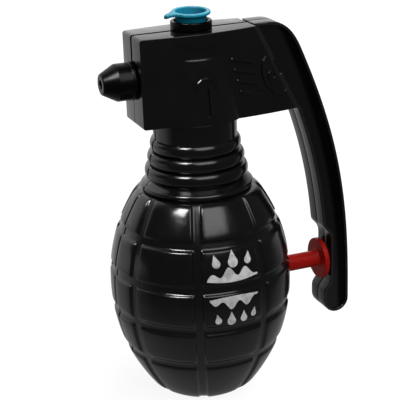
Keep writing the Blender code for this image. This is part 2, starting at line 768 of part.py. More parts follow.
def lever_solid():
    """The lever as one thin-walled hollow, with a raised rim round the side that the mirror will repeat."""
    outline = lever_outline()
    lever = flat_solid([outline], LEVER_HALF, LEVER_EDGE)
    rim = offset_outline(outline, LEVER_RIM)
    side = LEVER_HALF - LEVER_SINK
    beside = Matrix.Translation((0.0, -side - OVERSHOOT, 0.0))
    cut(lever, flat_solid([rim], OVERSHOOT, place=beside @ SIDE_VIEW))
    hollow = flat_solid([offset_outline(outline, LEVER_WALL)], side - LEVER_WALL)
    cut(hollow, cylinder("Y", PIN_AXIS, LUG_RADIUS, -LEVER_HALF, LEVER_HALF, FINE_SIDES))
    cut(lever, hollow)
    return cut(lever, cylinder("Y", PIN_AXIS, PIN_RADIUS + GAP, -HEAD_HALF, HEAD_HALF, SMALL_SIDES))


def plunger():
    start = piston_rear() - PISTON_LENGTH
    shoulder = piston_rear() + GAP
    dome = [(DOME_RADIUS * math.sin(a), FLANGE_BACK + DOME_HEIGHT * math.cos(a)) for a in (0.2, 0.7, 1.2)]
    profile = dome + [
        (DOME_RADIUS, FLANGE_BACK),
        (FLANGE_RADIUS - FLANGE_EDGE, FLANGE_BACK),
        (FLANGE_RADIUS, FLANGE_BACK - FLANGE_EDGE),
        (FLANGE_RADIUS, FLANGE_FRONT + FLANGE_EDGE),
        (FLANGE_RADIUS - FLANGE_EDGE, FLANGE_FRONT),
        (ROD_RADIUS + ROD_FILLET, FLANGE_FRONT),
        (ROD_RADIUS, FLANGE_FRONT - ROD_FILLET),
        (ROD_RADIUS, shoulder),
        (SPIGOT_RADIUS, shoulder),
        (SPIGOT_RADIUS, start + GAP),
    ]
    return turned(profile, "X", PUMP_AXIS)


def piston_sizes():
    """The piston's radius, the bottom of its groove and half the groove's width."""
    radius = BORE_RADIUS - PISTON_PLAY
    bottom = radius - PISTON_GROOVE
    half = (BORE_RADIUS - GAP - bottom - GAP) / 2 + SEAL_SIDE_PLAY
    return radius, bottom, half


def piston():
    radius, bottom, half = piston_sizes()
    hole = SPIGOT_RADIUS + GAP
    rear = piston_rear()
    front = rear - PISTON_LENGTH
    middle = (front + rear) / 2
    profile = [
        (hole, rear),
        (radius, rear),
        (radius, middle + half),
        (bottom, middle + half),
        (bottom, middle - half),
        (radius, middle - half),
        (radius, front),
        (hole, front),
    ]
    return turned(profile, "X", PUMP_AXIS, hollow=True)


def gland():
    """Stuffing ring that closes the barrel and guides the rod out through the casing."""
    bore = ROD_RADIUS + GAP
    nose = bore + NOSE_WALL
    spigot = BORE_RADIUS - GAP
    front = barrel_rear() - GLAND_DEPTH
    seat = barrel_rear() + GAP
    end = body_radius(PUMP_Z) - NOSE_SETBACK
    profile = [
        (bore, end),
        (nose, end),
        (nose, seat + GLAND_FLANGE),
        (GLAND_RADIUS, seat + GLAND_FLANGE),
        (GLAND_RADIUS, seat),
        (spigot, seat),
        (spigot, front),
        (spigot - GLAND_WALL, front),
        (spigot - GLAND_WALL, front + SEAL_SEAT),
        (bore, front + SEAL_SEAT),
    ]
    return turned(profile, "X", PUMP_AXIS, hollow=True)


def pump_body():
    """Barrel with an upright valve tower across its front end."""
    rear = barrel_rear()
    barrel = cylinder("X", PUMP_AXIS, BARREL_RADIUS, TOWER_X + TOWER_RADIUS / 4, rear)
    join(barrel, cylinder("Z", TOWER_AXIS, TOWER_RADIUS, TOWER_BOTTOM, TOWER_TOP))
    cut(barrel, cylinder("X", PUMP_AXIS, BORE_RADIUS, BARREL_BACK_OF_TOWER, rear + OVERSHOOT))
    cut(barrel, cylinder("Z", TOWER_AXIS, TOWER_BORE, TOWER_BOTTOM - OVERSHOOT, WEB_BOTTOM))
    cut(barrel, cylinder("Z", TOWER_AXIS, SEAT_RADIUS, WEB_BOTTOM - OVERSHOOT, OUTLET_SEAT + OVERSHOOT, SMALL_SIDES))
    cut(barrel, cylinder("Z", TOWER_AXIS, TOWER_BORE, OUTLET_SEAT, TOWER_TOP + OVERSHOOT))
    port = PUMP_AXIS - Vector((0.0, 0.0, PORT_DROP))
    cut(barrel, cylinder("X", port, PORT_RADIUS, TOWER_X, BARREL_BACK_OF_TOWER + OVERSHOOT, SMALL_SIDES))
    return barrel


def valve_fitting(inner_end, tower_end, towards):
    """A pressed-in plug with a hose barb. towards is 1 for the top fitting and -1 for the bottom one."""
    insert = TOWER_BORE - GAP
    collar_start = tower_end + towards * GAP
    collar_end = collar_start + towards * BARB_COLLAR
    tip = collar_end + towards * BARB_LENGTH
    profile = [
        (BARB_BORE, inner_end),
        (insert, inner_end),
        (insert, collar_start),
        (TOWER_RADIUS, collar_start),
        (TOWER_RADIUS, collar_end),
        (BARB_RADIUS, collar_end),
        (BARB_RADIUS, tip - towards * BARB_TAPER),
        ((BARB_RADIUS + BARB_BORE) / 2, tip),
        (BARB_BORE, tip),
    ]
    return turned(profile, "Z", TOWER_AXIS, SMALL_SIDES, hollow=True)


def dip_tube():
    """Straight suction tube from the inlet barb down to where it just clears the curved wall of the body."""
    top = TOWER_BOTTOM - GAP - BARB_COLLAR - GAP
    wall = TOWER_SETBACK + HOSE_RADIUS + DIP_TUBE_PLAY + SHELL_DEPTH
    bottom = BELT_HEIGHT - LOWER_REACH * (1 - wall / BODY_RADIUS) ** (1 / LOWER_POWER)
    bottom = max(bottom, FLOOR_THICKNESS) + DIP_TUBE_PLAY
    profile = [(HOSE_BORE, top), (HOSE_RADIUS, top), (HOSE_RADIUS, bottom), (HOSE_BORE, bottom)]
    return turned(profile, "Z", TOWER_AXIS, SMALL_SIDES, hollow=True)


def outlet_hose():
    """From the pump's outlet barb up the neck and round to the nozzle's barb."""
    start = Vector((TOWER_X, 0.0, TOWER_TOP + GAP + BARB_COLLAR + GAP))
    rise = start + Vector((0.0, 0.0, BARB_LENGTH))
    neck = Vector((HOSE_NECK_X, 0.0, HEAD_BOTTOM + HEAD_WALL))
    end = Vector((NOZZLE_COLLAR_BACK + GAP, 0.0, NOZZLE_Z))
    bend = end + Vector((BARB_LENGTH, 0.0, 0.0))
    up = Vector((0.0, 0.0, 1.0))
    lower = interpolate_bezier(rise, rise + up * HOSE_LEAD, neck - up * HOSE_RISE, neck, 9)
    knee = min(HOSE_BEND, NOZZLE_Z - HEAD_BOTTOM - HEAD_WALL)
    upper = interpolate_bezier(neck, neck + up * knee * 0.8, bend + Vector((knee * 0.6, 0.0, 0.0)), bend, 9)
    route = [start] + lower[:-1] + upper + [end]
    hose = tube(route, HOSE_RADIUS, 2)
    first = start - up * OVERSHOOT
    last = end - Vector((OVERSHOOT, 0.0, 0.0))
    return cut(hose, tube([first] + route[1:-1] + [last], HOSE_BORE, 2))


def return_spring():
    """One unbroken round wire about the pump's axis. Prints its least gap to itself."""
    radius = BORE_RADIUS - SPRING_PLAY - SPRING_WIRE
    start = BARREL_BACK_OF_TOWER + GAP + SPRING_WIRE
    end = piston_rear() - PISTON_LENGTH - GAP - SPRING_WIRE
    count = SPRING_TURNS * SPRING_POINTS
    route = []
    for i in range(count + 1):
        angle = 2 * math.pi * i / SPRING_POINTS
        x = start + (end - start) * i / count
        route.append(PUMP_AXIS + Vector((x, radius * math.cos(angle), radius * math.sin(angle))))
    least = min(
        (route[i] - route[j]).length
        for i in range(len(route))
        for j in range(i + SPRING_POINTS // 2, len(route))
    )
    print("least gap of the spring to itself: %.2f mm" % ((least - 2 * SPRING_WIRE) * 1000))
    return tube(route, SPRING_WIRE, 1)


def nozzle():
    """Cone-ended nozzle with a stem through the head's front wall and a barb for the hose."""
    face = -HEAD_FRONT - GAP
    tip = -HEAD_FRONT - NOZZLE_LENGTH
    cone = tip + NOZZLE_CONE
    barb_end = NOZZLE_COLLAR_BACK + BARB_LENGTH
    lip = STEM_RADIUS + COLLAR_LIP
    profile = [
        (JET_RADIUS, tip + NOZZLE_EDGE),
        (NOZZLE_TIP_RADIUS - NOZZLE_EDGE, tip),
        (NOZZLE_TIP_RADIUS, tip + NOZZLE_EDGE),
        (NOZZLE_RADIUS - NOZZLE_EDGE / 2, cone - NOZZLE_EDGE / 2),
        (NOZZLE_RADIUS, cone + NOZZLE_EDGE),
        (NOZZLE_RADIUS, face - NOZZLE_FOOT - NOZZLE_FOOT_STEP),
        (NOZZLE_RADIUS + NOZZLE_FOOT_STEP, face - NOZZLE_FOOT),
        (NOZZLE_RADIUS + NOZZLE_FOOT_STEP, face),
        (STEM_RADIUS, face),
        (STEM_RADIUS, NOZZLE_COLLAR_FRONT),
        (lip, NOZZLE_COLLAR_FRONT),
        (lip, NOZZLE_COLLAR_BACK),
        (BARB_RADIUS, NOZZLE_COLLAR_BACK),
        (BARB_RADIUS, barb_end - BARB_TAPER),
        ((BARB_RADIUS + BARB_BORE) / 2, barb_end),
        (BARB_BORE, barb_end),
        (BARB_BORE, tip + JET_DEPTH),
    ]
    return turned(profile, "X", NOZZLE_AXIS, FINE_SIDES, hollow=True)


def nozzle_washer():
    inside = STEM_RADIUS + GAP
    front = WALL_INSIDE + GAP
    back = front + WASHER_THICKNESS
    profile = [(inside, back), (inside + WASHER_WIDTH, back), (inside + WASHER_WIDTH, front), (inside, front)]
    return turned(profile, "X", NOZZLE_AXIS, hollow=True)


def filler_spout():
    seat = HEAD_TOP + GAP
    bottom = HEAD_TOP - SPOUT_DEPTH
    profile = [
        (SPOUT_MOUTH, SPOUT_TOP),
        (SPOUT_RADIUS - SPOUT_EDGE, SPOUT_TOP),
        (SPOUT_RADIUS - SPOUT_EDGE / 3, SPOUT_TOP - SPOUT_EDGE / 3),
        (SPOUT_RADIUS, SPOUT_TOP - SPOUT_EDGE),
        (SPOUT_RADIUS, seat),
        (SPOUT_STEM, seat),
        (SPOUT_STEM, bottom),
        (SPOUT_BORE, bottom),
        (SPOUT_BORE, SPOUT_TOP - SPOUT_TAPER),
    ]
    return turned(profile, sides=FINE_SIDES, hollow=True)


def filler_plug():
    """Hollow tapered stopper with a flange drawn out into a pull tab."""
    tip = PLUG_TAB_TIP
    outline = arc(0.0, 0.0, PLUG_RADIUS, -115, 115, 24)
    outline.extend(arc(-PLUG_TAB_REACH + tip, 0.0, tip, 110, 250, 5))
    level = Matrix.Translation((0.0, 0.0, (PLUG_UNDER + PLUG_TOP) / 2))
    plug = flat_solid([outline], PLUG_FLANGE / 2, PLUG_EDGE, level)
    low = SPOUT_TOP - SPOUT_TAPER
    narrow = SPOUT_BORE - GAP
    spread = (SPOUT_MOUTH - SPOUT_BORE) / SPOUT_TAPER
    wide = narrow + spread * (PLUG_UNDER - low) - GAP
    skirt = [
        (wide, PLUG_UNDER + PLUG_EDGE),
        (narrow, low + PLUG_CHAMFER),
        (narrow - PLUG_CHAMFER, low),
    ]
    join(plug, turned(skirt, sides=FINE_SIDES))
    bowl = [
        (wide - PLUG_EDGE, PLUG_TOP + OVERSHOOT),
        (wide - PLUG_EDGE, PLUG_TOP),
        (wide - PLUG_WALL, PLUG_UNDER),
        (narrow - PLUG_WALL - PLUG_CHAMFER, low + PLUG_FLOOR),
    ]
    return cut(plug, turned(bowl, sides=FINE_SIDES))


def material(name, colour, roughness, metal):
    surface = bpy.data.materials.new(name)
    surface.use_nodes = True
    shader = surface.node_tree.nodes["Principled BSDF"]
    shader.inputs["Base Color"].default_value = colour
    shader.inputs["Roughness"].default_value = roughness
    shader.inputs["Metallic"].default_value = metal
    return surface


def mover(name, place, collection):
    """An empty on the axis about or along which a group of pieces moves."""
    empty = bpy.data.objects.new(name, None)
    empty.location = place
    empty.empty_display_size = GROOVE_PITCH
    collection.objects.link(empty)
    return empty


def finish(solid, name, surface, parent, collection):
    """Names the piece, cleans it, and hangs it on its empty with the same origin."""
    bm = bmesh.new()
    bm.from_mesh(solid.data)
    bmesh.ops.remove_doubles(bm, verts=bm.verts, dist=WELD)
    bmesh.ops.dissolve_degenerate(bm, edges=bm.edges, dist=WELD)
    bmesh.ops.translate(bm, vec=-parent.location, verts=bm.verts)
    mesh = bpy.data.meshes.new(name)
    bm.to_mesh(mesh)
    bm.free()
    mesh.shade_smooth()
    mesh.set_sharp_from_angle(angle=SMOOTH_ANGLE)
    mesh.materials.append(material(name, *surface))
    bpy.data.objects.remove(solid, do_unlink=True)
    piece = bpy.data.objects.new(name, mesh)
    piece.parent = parent
    collection.objects.link(piece)


def build():
    clear_scene()
    collection = bpy.data.collections.new("water_squirter")
    bpy.context.scene.collection.children.link(collection)
    inlet_centre = TOWER_AXIS + Vector((0.0, 0.0, INLET_SEAT + BALL_SEAT_LIFT))
    outlet_centre = TOWER_AXIS + Vector((0.0, 0.0, OUTLET_SEAT + BALL_SEAT_LIFT))
    casing = mover("casing", ORIGIN, collection)
    lever = mover("lever", PIN_AXIS, collection)
    pump = mover("pump_axis", PUMP_AXIS, collection)
    plug = mover("plug", Vector((0.0, 0.0, PLUG_UNDER)), collection)
    inlet = mover("inlet_valve", inlet_centre, collection)
    outlet = mover("outlet_valve", outlet_centre, collection)

    shell = (BLACK, 0.25, 0.0)
    moulded = (WHITE, 0.4, 0.0)
    rubber = (RUBBER, 0.7, 0.0)
    metal = (STEEL, 0.3, 1.0)
    clear = (CLEAR, 0.2, 0.0)
    left_shell, right_shell = two_halves(casing_solid())
    lever_left, lever_right = two_halves(lever_solid())
    pin_end = HEAD_HALF - PIN_COVER - GAP
    pin = cylinder("Y", PIN_AXIS, PIN_RADIUS, -pin_end, pin_end, SMALL_SIDES)
    radius, bottom, half = piston_sizes()
    piston_ring = seal(bottom + GAP, BORE_RADIUS - GAP, piston_rear() - PISTON_LENGTH / 2)
    seat_radius = BORE_RADIUS - GAP - GLAND_WALL
    rod_ring = seal(ROD_RADIUS + GAP, seat_radius - GAP, barrel_rear() - GLAND_DEPTH + SEAL_SEAT / 2)
    pieces = [
        ("left_shell", left_shell, shell, casing),
        ("right_shell", right_shell, shell, casing),
        ("lever_left", lever_left, shell, lever),
        ("lever_right", lever_right, shell, lever),
        ("lever_pin", pin, metal, casing),
        ("nozzle", nozzle(), shell, casing),
        ("nozzle_washer", nozzle_washer(), rubber, casing),
        ("filler_spout", filler_spout(), shell, casing),
        ("filler_plug", filler_plug(), (BLUE, 0.35, 0.0), plug),
        ("plunger", plunger(), (RED, 0.3, 0.0), pump),
        ("piston", piston(), moulded, pump),
        ("piston_seal", piston_ring, rubber, pump),
        ("gland", gland(), shell, casing),
        ("rod_seal", rod_ring, rubber, casing),
        ("pump_body", pump_body(), moulded, casing),
        ("return_spring", return_spring(), metal, casing),
        ("inlet_fitting", valve_fitting(INLET_SEAT, TOWER_BOTTOM, -1), moulded, casing),
        ("inlet_ball", ball(inlet_centre), metal, inlet),
        ("outlet_ball", ball(outlet_centre), metal, outlet),
        ("outlet_fitting", valve_fitting(OUTLET_STOP, TOWER_TOP, 1), moulded, casing),
        ("dip_tube", dip_tube(), clear, casing),
        ("outlet_hose", outlet_hose(), clear, casing),
    ]
    for name, solid, surface, parent in pieces:
        finish(solid, name, surface, parent, collection)


build()
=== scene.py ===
"""Looks of the toy water squirter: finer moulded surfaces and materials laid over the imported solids.

Metres and degrees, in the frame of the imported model: +Z up, nozzle towards -X, lever on +X, parted on y = 0.
Most sizes are the solids' own. Head, flare, plug, plunger's head and lever's foot are fitted more closely.
"""
import math
from contextlib import contextmanager

import bmesh
import bpy
from mathutils import Matrix, Vector
from mathutils.geometry import interpolate_bezier


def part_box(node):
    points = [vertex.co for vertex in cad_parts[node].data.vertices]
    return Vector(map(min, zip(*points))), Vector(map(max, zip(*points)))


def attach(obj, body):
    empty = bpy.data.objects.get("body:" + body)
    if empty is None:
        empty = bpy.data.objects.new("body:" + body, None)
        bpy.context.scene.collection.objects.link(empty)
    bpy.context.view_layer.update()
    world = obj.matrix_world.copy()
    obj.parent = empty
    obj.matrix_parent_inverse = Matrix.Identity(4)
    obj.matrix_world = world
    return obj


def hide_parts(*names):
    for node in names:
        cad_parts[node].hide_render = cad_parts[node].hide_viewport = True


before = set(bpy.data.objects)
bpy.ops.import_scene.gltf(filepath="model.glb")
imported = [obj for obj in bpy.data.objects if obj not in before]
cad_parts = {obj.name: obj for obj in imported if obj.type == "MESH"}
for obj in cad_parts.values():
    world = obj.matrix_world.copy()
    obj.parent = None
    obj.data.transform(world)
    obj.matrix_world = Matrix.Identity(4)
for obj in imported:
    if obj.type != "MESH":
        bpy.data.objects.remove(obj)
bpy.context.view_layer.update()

# Clearances
GAP = 0.0003
OVERSHOOT = 0.001
WELD = 0.000002
SEAM_MEET = 0.00001

# Body: an egg on a flat base, with rows and columns of panels between grooves
BODY_RADIUS = 0.0255
BELT_HEIGHT = 0.035
LOWER_REACH = 0.0465
UPPER_REACH = 0.0451
LOWER_POWER = 2.2
UPPER_POWER = 2.15
BASE_EDGE = 0.0045
BASE_SETBACK = 0.0036
BASE_POWER = 1.55
BASE_ROUND = 0.0006
PANEL_TOP = 0.0619
PANEL_EDGE = 0.0009
PANEL_COLUMNS = 8
ROW_GROOVES = 4
LOWEST_GROOVE = 0.017
GROOVE_PITCH = 0.01167
GROOVE_DEPTH = 0.0007
GROOVE_MIDDLE = 0.001225
CRISP_WALL = 0.00055
SOFT_WALL = 0.00105
EDGE_FILLET = 0.35
FLOOR_FILLET = 0.45
TOP_GROOVE_SHARE = 0.3
SEAM_LIP = 0.0006
SEAM_DEPTH = 0.0008
SHELL_DEPTH = 0.00255
FLOOR_THICKNESS = 0.0024

# Neck: a collar and rings that narrow upwards
COLLAR_RADIUS = 0.01564
COLLAR_RISE = 0.0012
COLLAR_HALF_HEIGHT = 0.00085
COLLAR_SWELL = 0.0009
RING_COUNT = 3
RING_RADIUS = 0.01431
RING_STEP = 0.00088
RING_RISE = 0.0052
RING_PITCH = 0.0038
RING_SWELL = 0.00115
SWELL_ANGLE = 80
NECK_RADIUS = 0.01155
NECK_BORE = 0.0092
NECK_LENGTH = 0.007
NECK_FOOT = 0.00045

# Head: a box with a slanted back and bowed sides, a flare at its foot and an open line where the halves meet
HEAD_FRONT = 0.01705
HEAD_REAR = 0.0279442
HEAD_SLOPE = 0.4894309
HEAD_HEIGHT = 0.0242
HEAD_HALF = 0.007
HEAD_WALL = 0.00185
HEAD_EDGE = 0.00014
HEAD_CORNER = 0.0008
SIDE_SWELL = 0.0013
REAR_DRAW = 0.0009
REAR_DRAW_POWER = 6
PARTING_HALF = 0.0006
PARTING_FINE = 0.00015
PARTING_DEPTH = 0.0012
FLARE_DROP = 0.0063
FLARE_FLAT = 0.002
FLARE_TOP_RADIUS = 0.00794
FLARE_BOTTOM_RADIUS = 0.01
FLARE_SPREAD = 1.36
FLARE_EDGE = 0.0003
POCKET_DEPTH = 0.0075
POCKET_HALF = 0.00475
NOSE_HOLE = 0.0039

# Mouldings on the head's sides
RELIEF_HEIGHT = 0.0004
RELIEF_ROUND = 0.00016
RELIEF_ROOT = 0.0006
OVAL_LONG = 0.0062
OVAL_SHORT = 0.004
OVAL_LINE = 0.0007
OVAL_SHIFT = 0.0012
EYE_RADIUS = 0.0014
EYE_LINE = 0.00055
EYE_HEIGHT = 0.000275
RIB_COUNT = 4
RIB_LENGTH = 0.0058
RIB_DROP = 0.0014
RIB_RADIUS = 0.0005
RIB_PITCH = 0.00305
RIB_SHIFT = 0.00075
RIB_SETBACK = 0.0116
RIB_TOP_DROP = 0.0077
RIB_HEIGHT = 0.000525
PAD_LONG = 0.0084
PAD_SHORT = 0.0039
PAD_HEIGHT = 0.00025
PAD_SHIFT = 0.00025
ARCH_RISE = 0.0097
ARCH_RADIUS = 0.0033
ARCH_LINE = 0.00075
SLOT_RISE = 0.0029
SLOT_LENGTH = 0.0066
SLOT_RADIUS = 0.0006
SLOT_DEPTH = 0.0005

# Lever and its pivot
LEVER_HALF = 0.0043
LEVER_WALL = 0.0014
LEVER_RIM = 0.0009
LEVER_SINK = 0.0006
LEVER_EDGE = 0.0003
LEVER_DEPTH = 0.0074
LEVER_GAP = 0.00045
LEVER_REACH = 0.0453
LEVER_DROP = 0.0164
LEVER_STRAIGHT = 0.0046
LEVER_CREST = 0.00025
LEVER_CROWN = 0.0044
FOOT_SWELL = 0.0005
SHOULDER_BACK = 0.0024
SHOULDER_DROP = 0.0077
SHOULDER_SLOPE = 2.29
SHOULDER_HANDLE = 0.027
CROWN_HANDLE = 0.0048
FOOT_HANDLE = 0.0305
RECESS_WALL = 0.0057
RECESS_ABOVE = 0.00835
RECESS_BELOW = 0.0066
RECESS_RAMP = 0.0028
RECESS_LIP = 0.0023
RECESS_ROUND = 0.00185
PIVOT_DROP = 0.0138
PIVOT_INSET = 0.00246
PIN_RADIUS = 0.00125
PIN_COVER = 0.00075
LUG_RADIUS = 0.0034
LUG_START = 95
LUG_END = 265

# Plunger
PUMP_Z = 0.03305
ROD_RADIUS = 0.0024
ROD_FILLET = 0.0004
SPIGOT_RADIUS = 0.0012
FLANGE_RADIUS = 0.006
FLANGE_THICKNESS = 0.0015
DOME_HEIGHT = 0.0009
DOME_RADIUS = 0.003
DOME_TURN = 14

# Nozzle
STEM_RADIUS = 0.0031
NOZZLE_DROP = 0.0121
NOZZLE_RADIUS = 0.00505
NOZZLE_LENGTH = 0.009
NOZZLE_CONE = 0.0041
NOZZLE_TIP_RADIUS = 0.0028
NOZZLE_FOOT = 0.0008
NOZZLE_FOOT_STEP = 0.0002
NOZZLE_COLLAR_FRONT = -0.0136
NOZZLE_COLLAR_BACK = -0.0124
NOZZLE_COLLAR_RADIUS = 0.0045
BARB_RADIUS = 0.0015
BARB_BORE = 0.0009
BARB_LENGTH = 0.0053
JET_RADIUS = 0.00115
JET_DEPTH = 0.0016

# Filler spout and its plug, whose soft flange leans and whose tab droops
SPOUT_RADIUS = 0.0056
SPOUT_HEIGHT = 0.0024
SPOUT_STEM = 0.0047
SPOUT_DEPTH = 0.006
SPOUT_MOUTH = 0.0046
SPOUT_BORE = 0.00375
SPOUT_TAPER = 0.0041
PLUG_RADIUS = 0.0053
PLUG_FLANGE = 0.00085
PLUG_EDGE = 0.00025
PLUG_STAND = 0.00185
PLUG_MOUTH = 0.004
PLUG_WALL = 0.0008
PLUG_FLOOR = 0.001
PLUG_CHAMFER = 0.0003
PLUG_TAB_REACH = 0.0075
PLUG_TAB_TIP = 0.0011
PLUG_TAB_ROOT = 54
PLUG_TAB_SWEEP = 0.0012
PLUG_BEND_START = 0.0035
PLUG_BEND = 0.0008
PLUG_TILT = 0.045

# Prints, in rows counted from the lowest groove: waves as (width, height, place over the row's middle, 1 for
# crests up or -1 for crests down), and drops as (x, place over the row's middle, radius, lean in degrees)
UPPER_PRINT_ROW = 2.5
LOWER_PRINT_ROW = 1.5
PRINT_RAISE = 0.00006
WAVE_COUNT = 3
WAVE_SWING = 0.35
WAVE_SAG = 0.18
DROP_OPENING = 40
DROP_POINT = 2.3
UPPER_WAVE = (0.0148, 0.0034, -0.0032, 1)
LOWER_WAVE = (0.0142, 0.0032, 0.0034, -1)
UPPER_DROPS = [(-0.0044, 0.0014, 0.0011, 10), (0.0002, 0.0014, 0.0014, 0), (0.0046, 0.0012, 0.001, -12)]
LOWER_DROPS = [
    (-0.0048, -0.0028, 0.0009, 10),
    (-0.0012, -0.0032, 0.0012, 0),
    (0.0024, -0.003, 0.001, 0),
    (0.0054, -0.0024, 0.0008, -12),
]

# Fineness of round surfaces, and the angles that part smooth from sharp and flat from round
CORNER_ROUND = 0.0003
CORNER_SHARE = 0.45
SHARPEST_TURN = 0.4
SIDES = 96
FLARE_SIDES = 128
ROUND_STEPS = 4
WALL_STEPS = 8
PANEL_STEPS = 5
SEAM_STEPS = 5
SWELL_STEPS = 10
TOP_STEPS = 5
DOME_STEPS = 6
BOW_STEPS = 24
SMOOTH_ANGLE = math.radians(28)
FLAT_ANGLE = math.radians(0.1)

# Looks: what level tops keep of the roughness, the painted highlight strip along the head's slanted edge, how
# far its tone drifts over the rest, what the lever's inner face keeps of its tone and shine under painted
# shade, and the painted shade in a band down its back.
# A facing is the range of a surface direction's share along one axis over which a look changes.
LEVEL_FACING = (0.92, 0.98)
SIDE_FACING = (0.5, 0.8)
FLANK_FACING = (0.6, 0.9)
INNER_FACING = (-0.7, -0.1)
POLISH = 0.4
EDGE_HIGHLIGHT_WIDTH = 0.0007
DRIFT_SHARE = 0.22
INNER_LIT_SHARE = 0.35
SHADE_BAND_START = 0.0038
SHADE_BAND_END = 0.0026

# Colours, from a low to a high tone
# The casing's high tone serves both its drifting tone and the painted highlight along the head's slanted edge.
CASING_TONES = ((0.004, 0.004, 0.0042), (0.015, 0.015, 0.0155))
# The lever's low tone is painted shade and its high tone the lit tone.
LEVER_SHADED_AND_LIT_TONES = ((0.001, 0.001, 0.0011), (0.005, 0.005, 0.0052))
# The lever's rim tone is a painted highlight.
LEVER_RIM_HIGHLIGHT = (0.018, 0.018, 0.0185)
FITTING_TONES = ((0.0015, 0.0015, 0.0015), (0.0025, 0.0025, 0.0025))
# The blue's low tone is painted shade in the plug's hollow and on its stem, its high tone the lit flange.
BLUE_SHADED_AND_LIT_TONES = ((0.006, 0.26, 0.4), (0.02, 0.48, 0.68))
RED_TONES = ((0.4, 0.007, 0.004), (0.5, 0.01, 0.006))
WHITE_TONES = ((0.72, 0.72, 0.7), (0.78, 0.78, 0.76))
RUBBER_TONES = ((0.012, 0.012, 0.012), (0.02, 0.02, 0.02))
HOSE_TONES = ((0.6, 0.65, 0.62), (0.68, 0.72, 0.7))
STEEL_TONES = ((0.5, 0.5, 0.52), (0.6, 0.6, 0.62))
PRINT_TONES = ((0.55, 0.55, 0.55), (0.95, 0.95, 0.95))

# The photograph's view
AZIMUTH = math.radians(-21.11)
ELEVATION = math.radians(19.836)
ROLL = math.radians(-2.084)
DISTANCE = 0.35
AIM_HEIGHT = 0.057355
AIM_RIGHT = 0.000684
FOCAL_PIXELS = 1254.085
FRAME_PIXELS = 400.0
SENSOR_MM = 36.0

# The room: a dim front, a white backdrop and a white floor, lit by flat lamps
ROOM_LEVEL = 0.1
BACKDROP_HEADING = Vector((-0.12, 0.93, 0.34)).normalized()
BACKDROP_EDGE = 0.45
BACKDROP_MIDDLE = 0.9
FLOOR_SIZE = 4.0
FLOOR_LEVEL = -0.00005
FLOOR_GREY = (0.2, 0.2, 0.2, 1.0)
FLOOR_NEAR_GLOW = 0.92
FLOOR_NEAR_BOUNCE = 0.28
FLOOR_FAR_BOUNCE = 0.08
FLOOR_GLOSS_SHARE = 0.55
FLOOR_GLOW_FADE = (0.05, 0.3)
FLOOR_BOUNCE_FADE = (0.04, 0.12)
FLOOR_GLOSS_FADE = (-0.03, 0.14)
LAMP_DISTANCE = 0.6
LAMP_FEATHER = 0.28

# Places that follow from the sizes
HEAD_BOTTOM = PANEL_TOP + RING_RISE + (RING_COUNT - 1) * RING_PITCH + NECK_LENGTH
HEAD_TOP = HEAD_BOTTOM + HEAD_HEIGHT
FLARE_TOP = HEAD_TOP - FLARE_DROP
PIVOT_Z = HEAD_TOP - PIVOT_DROP
PIVOT_X = HEAD_REAR - HEAD_SLOPE * (PIVOT_Z - HEAD_BOTTOM) - PIVOT_INSET
NOZZLE_Z = HEAD_TOP - NOZZLE_DROP
LEVER_FOOT = PUMP_Z - LEVER_DROP
FOOT_TOP = LEVER_FOOT + LEVER_DEPTH / 2 + LEVER_STRAIGHT
RECESS_FLOOR = LEVER_REACH - RECESS_WALL
DOME_TIP = RECESS_FLOOR - GAP
FLANGE_BACK = DOME_TIP - DOME_HEIGHT
FLANGE_FRONT = FLANGE_BACK - FLANGE_THICKNESS
SPOUT_TOP = HEAD_TOP + SPOUT_HEIGHT
PLUG_UNDER = SPOUT_TOP + PLUG_STAND
PLUG_TOP = PLUG_UNDER + PLUG_FLANGE
WALL_INSIDE = -HEAD_FRONT + HEAD_WALL
WIDE = 2 * BODY_RADIUS
SEAM_STATIONS = [SEAM_LIP * i / SEAM_STEPS for i in range(-SEAM_STEPS, SEAM_STEPS + 1)]

ORIGIN = Vector((0.0, 0.0, 0.0))
PUMP_AXIS = Vector((0.0, 0.0, PUMP_Z))
PIN_AXIS = Vector((PIVOT_X, 0.0, PIVOT_Z))
NOZZLE_AXIS = Vector((0.0, 0.0, NOZZLE_Z))
AXIS_TURNS = {
    "X": Matrix.Rotation(math.pi / 2, 4, "Y"),
    "Y": Matrix.Rotation(-math.pi / 2, 4, "X"),
    "Z": Matrix.Identity(4),
}
SIDE_VIEW = Matrix.Rotation(math.pi / 2, 4, "X")
UNMOVED = Matrix.Identity(4)


def stand(data, place=UNMOVED):
    shape = bpy.data.objects.new("shape", data)
    bpy.context.scene.collection.objects.link(shape)
    shape.matrix_world = place
    return shape


@contextmanager
def editing(mesh):
    """Opens a mesh for editing and writes it back."""
    bm = bmesh.new()
    bm.from_mesh(mesh)
    yield bm
    bm.to_mesh(mesh)
    bm.free()


def solid_of(shape):
    """Works an object's modifiers and placing into a welded mesh with outward faces."""
    graph = bpy.context.evaluated_depsgraph_get()
    ready = shape.evaluated_get(graph)
    mesh = bpy.data.meshes.new_from_object(ready)
    mesh.transform(ready.matrix_world)
    with editing(mesh) as bm:
        bmesh.ops.remove_doubles(bm, verts=bm.verts, dist=WELD)
        bmesh.ops.recalc_face_normals(bm, faces=bm.faces)
    bpy.data.objects.remove(shape, do_unlink=True)
    return stand(mesh)


def rounded(profile, radius, closed=False):
    """Rounds the corners of a line of (radius, height) points."""
    points = [Vector(point) for point in profile]
    count = len(points)
    result = []
    for i, corner in enumerate(points):
        if not closed and i in (0, count - 1):
            result.append(tuple(corner))
            continue
        before = points[i - 1] - corner
        after = points[(i + 1) % count] - corner
        reach = min(radius, before.length * CORNER_SHARE, after.length * CORNER_SHARE)
        start = corner + before.normalized() * reach
        end = corner + after.normalized() * reach
        for step in range(ROUND_STEPS + 1):
            t = step / ROUND_STEPS
            point = start * (1 - t) ** 2 + corner * 2 * t * (1 - t) + end * t**2
            result.append(tuple(point))
    return result


